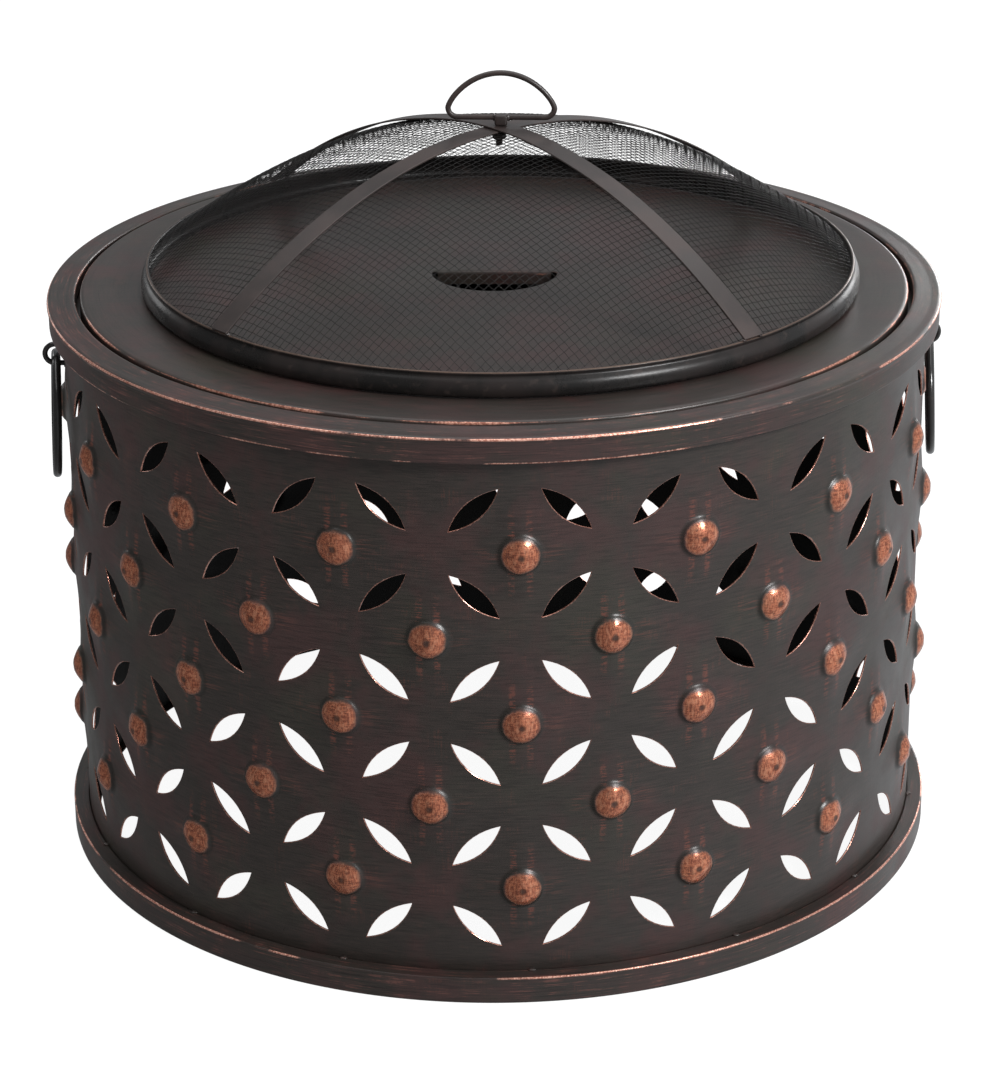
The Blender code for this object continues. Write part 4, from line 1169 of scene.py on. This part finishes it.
# lifting loop, eye bolt, washer and nut
pts = []
corner = 0.0080
for k in range(13):
    a = math.radians(180 + 7.5 * k)
    pts.append((-LOOP_HALF + corner + corner * math.cos(a), LOOP_Z + corner + corner * math.sin(a)))
for k in range(1, 8):
    pts.append((-LOOP_HALF + corner + (2 * LOOP_HALF - 2 * corner) * k / 8, LOOP_Z))
for k in range(13):
    a = math.radians(270 + 7.5 * k)
    pts.append((LOOP_HALF - corner + corner * math.cos(a), LOOP_Z + corner + corner * math.sin(a)))
rise = LOOP_TOP - LOOP_Z - corner
for k in range(1, 40):
    a = math.radians(180 * k / 40)
    pts.append((LOOP_HALF * math.cos(a), LOOP_Z + corner + rise * math.sin(a) ** 1.45))
v, f = tube_data([(x, 0, z) for x, z in pts], 0.0024, 16, closed=True)
make("lifting_loop_wire", v, f, ENAMEL_STRAP, "screen", ("screen_handle_loop",), "black_enamel",
     smooth=60, turn=SCREEN_TURN, at=(SCREEN_X + 0.0018, 0, 0))
# the forged head the loop is welded in: a block with well rounded corners
hv, hf = [], []
for i in range(17):
    t = -math.pi / 2 + math.pi * i / 16
    ct, st = abs(math.cos(t)) ** 0.34, math.copysign(abs(math.sin(t)) ** 0.34, math.sin(t))
    for k in range(32):
        a = TAU * k / 32
        ca = math.copysign(abs(math.cos(a)) ** 0.42, math.cos(a))
        sa = math.copysign(abs(math.sin(a)) ** 0.42, math.sin(a))
        hv.append((0.0016 + 0.0056 * ct * ca, 0.0050 * ct * sa, 0.6300 + 0.0046 * st))
for i in range(16):
    for k in range(32):
        l = (k + 1) % 32
        hf.append((i * 32 + k, i * 32 + l, (i + 1) * 32 + l, (i + 1) * 32 + k))
hf += [tuple(range(32))[::-1], tuple(16 * 32 + k for k in range(32))]
for side in (-1, 1):
    wv, wf = bead((0.0016 + side * 0.0060, 0, LOOP_Z), (0.0014, 0.0034, 0.0031), 2.1 + side)
    hv, hf = join((hv, hf), (wv, wf))
shank_profile = [(0.0, 0.6080), (0.0024, 0.6080), (0.0030, 0.6086)]
z = 0.6092
while z < 0.6182:
    shank_profile += [(0.0030, z), (0.0027, z + 0.0004)]
    z += 0.0008
shank_profile += [(0.0030, 0.6186), (0.0030, 0.6262), (0.0036, 0.6270), (0.0040, 0.6280), (0.0, 0.6284)]
sv, sf = [], []
seg = 24
idx = []
for r, z in shank_profile:
    if r == 0:
        idx.append([len(sv)] * seg)
        sv.append((0, 0, z))
    else:
        b = len(sv)
        idx.append([b + i for i in range(seg)])
        sv += [around(r, TAU * i / seg, z) for i in range(seg)]
for one, two in zip(idx, idx[1:]):
    for i in range(seg):
        k = (i + 1) % seg
        q = tuple(dict.fromkeys((one[i], one[k], two[k], two[i])))
        sf.append(q)
v, f = join((hv, hf), (sv, sf))
make("eye_bolt_threaded", v, f, ENAMEL_STRAP, "screen", ("screen_handle_eyebolt",), "black_enamel",
     smooth=40, turn=SCREEN_TURN, at=AT)
washer = rounded([(0.0033, 0.6186, 0), (0.0080, 0.6186, 0.2), (0.0080, 0.6198, 0.2), (0.0033, 0.6198, 0)], 0.0003, 2)
lathe("bolt_washer", washer, 48, ENAMEL_STRAP, "screen", nodes=("screen_handle_washer",),
      slot="black_enamel", smooth=50, turn=SCREEN_TURN, at=AT)
nv, nf = [], []
seg = 48
levels = []
nut_low, nut_high = 0.6133, 0.6183
for r_kind, z in (("hole", nut_low + 0.0005), ("cham", nut_low), ("flat0", nut_low + 0.0004), ("out", nut_low + 0.0009),
                  ("out", nut_high - 0.0009), ("flat0", nut_high - 0.0004), ("cham", nut_high), ("hole", nut_high - 0.0005)):
    base_i = len(nv)
    levels.append(base_i)
    for i in range(seg):
        a = TAU * i / seg
        flat = 0.0050 / math.cos(((math.degrees(a) + 30) % 60 - 30) * math.pi / 180)
        r = {"hole": 0.0032, "cham": min(0.0047, flat), "flat0": min(flat, 0.0053), "out": flat}[r_kind]
        nv.append(around(r, a, z))
for a, b in zip(levels, levels[1:] + levels[:1]):
    for i in range(seg):
        k = (i + 1) % seg
        nf.append((a + i, a + k, b + k, b + i))
make("bolt_nut", nv, nf, ENAMEL_STRAP, "screen", ("screen_handle_nut",), "black_enamel",
     smooth=30, turn=SCREEN_TURN, at=AT)

# ---------------------------------------------------------------- one winding for every piece
import bmesh
for ob in list(bpy.context.scene.objects):
    if ob.type == 'MESH' and "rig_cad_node" not in ob and not ob.name.startswith(("drum_sheet", "screen_wires")):
        bm = bmesh.new()
        bm.from_mesh(ob.data)
        bmesh.ops.recalc_face_normals(bm, faces=bm.faces)
        bm.to_mesh(ob.data)
        bm.free()

# ---------------------------------------------------------------- floor, light, camera
mesh = bpy.data.meshes.new("floor")
mesh.from_pydata([(-9, -9, -0.0006), (9, -9, -0.0006), (9, 9, -0.0006), (-9, 9, -0.0006)], [], [(0, 1, 2, 3)])
floor = bpy.data.objects.new("floor", mesh)
bpy.context.scene.collection.objects.link(floor)
paper = bpy.data.materials.new("pale_floor")
paper.use_nodes = True
b = paper.node_tree.nodes["Principled BSDF"]
b.inputs["Base Color"].default_value = (0.15, 0.15, 0.15, 1)
b.inputs["Emission Color"].default_value = (1.0, 1.0, 1.0, 1)
b.inputs["Emission Strength"].default_value = 0.93
b.inputs["Roughness"].default_value = 0.9
b.inputs["Specular IOR Level"].default_value = 0.1
mesh.materials.append(paper)
floor.visible_glossy = False

world = bpy.data.worlds.new("studio")
bpy.context.scene.world = world
world.use_nodes = True
world.node_tree.nodes["Background"].inputs["Color"].default_value = (0.94, 0.97, 1.0, 1)
# a dim studio, brighter towards +X
wt = world.node_tree
w_coord, w_axes = wt.nodes.new("ShaderNodeTexCoord"), wt.nodes.new("ShaderNodeSeparateXYZ")
w_range = wt.nodes.new("ShaderNodeMapRange")
w_range.interpolation_type = 'SMOOTHSTEP'
for key, value in (("From Min", -0.60), ("From Max", 0.85), ("To Min", 0.17), ("To Max", 0.78)):
    w_range.inputs[key].default_value = value
wt.links.new(w_coord.outputs["Generated"], w_axes.inputs[0])
wt.links.new(w_axes.outputs[0], w_range.inputs["Value"])
wt.links.new(w_range.outputs["Result"], wt.nodes["Background"].inputs["Strength"])


def area(name, where, target, size, power, colour=(1, 1, 1)):
    light = bpy.data.lights.new(name, 'AREA')
    light.shape = 'RECTANGLE'
    light.size, light.size_y = size
    light.energy = power
    light.color = colour
    ob = bpy.data.objects.new(name, light)
    bpy.context.scene.collection.objects.link(ob)
    ob.location = where
    ob.rotation_euler = (Vector(target) - Vector(where)).to_track_quat('-Z', 'Y').to_euler()
    return ob


area("key_softbox", (1.80, -1.95, 1.95), (0, 0, 0.3), (0.8, 0.6), 84)
area("top_softbox", (0.0, 0.3, 3.6), (0, 0, 0), (4.2, 4.2), 104)
area("fill_softbox", (-2.6, -1.4, 1.6), (0, 0, 0.3), (1.6, 1.6), 26).visible_glossy = False
area("back_strip", (2.2, 3.2, 1.1), (0.1, 0, 0.45), (1.8, 0.8), 42)
area("back_strip_left", (-2.4, 3.0, 1.2), (-0.1, 0, 0.45), (1.2, 0.8), 7)

yaw, pitch, roll = math.radians(2.878), math.radians(-22.628), math.radians(-0.474)
forward = Vector((math.sin(yaw) * math.cos(pitch), math.cos(yaw) * math.cos(pitch), math.sin(pitch)))
right = forward.cross(Vector((0, 0, 1))).normalized()
up = right.cross(forward)
r2 = right * math.cos(roll) + up * math.sin(roll)
u2 = -right * math.sin(roll) + up * math.cos(roll)
cam = bpy.data.cameras.new("camera")
cam.sensor_fit = 'AUTO'
cam.sensor_width = 36
cam.lens = 3462.6 * 36 / 1088
cam.clip_end = 60
camera = bpy.data.objects.new("camera", cam)
bpy.context.scene.collection.objects.link(camera)
camera.matrix_world = Matrix((
    (r2.x, u2.x, -forward.x, -0.1428), (r2.y, u2.y, -forward.y, -2.8214),
    (r2.z, u2.z, -forward.z, 1.4208), (0, 0, 0, 1)))
bpy.context.scene.camera = camera
bpy.context.scene.view_settings.view_transform = 'Standard'
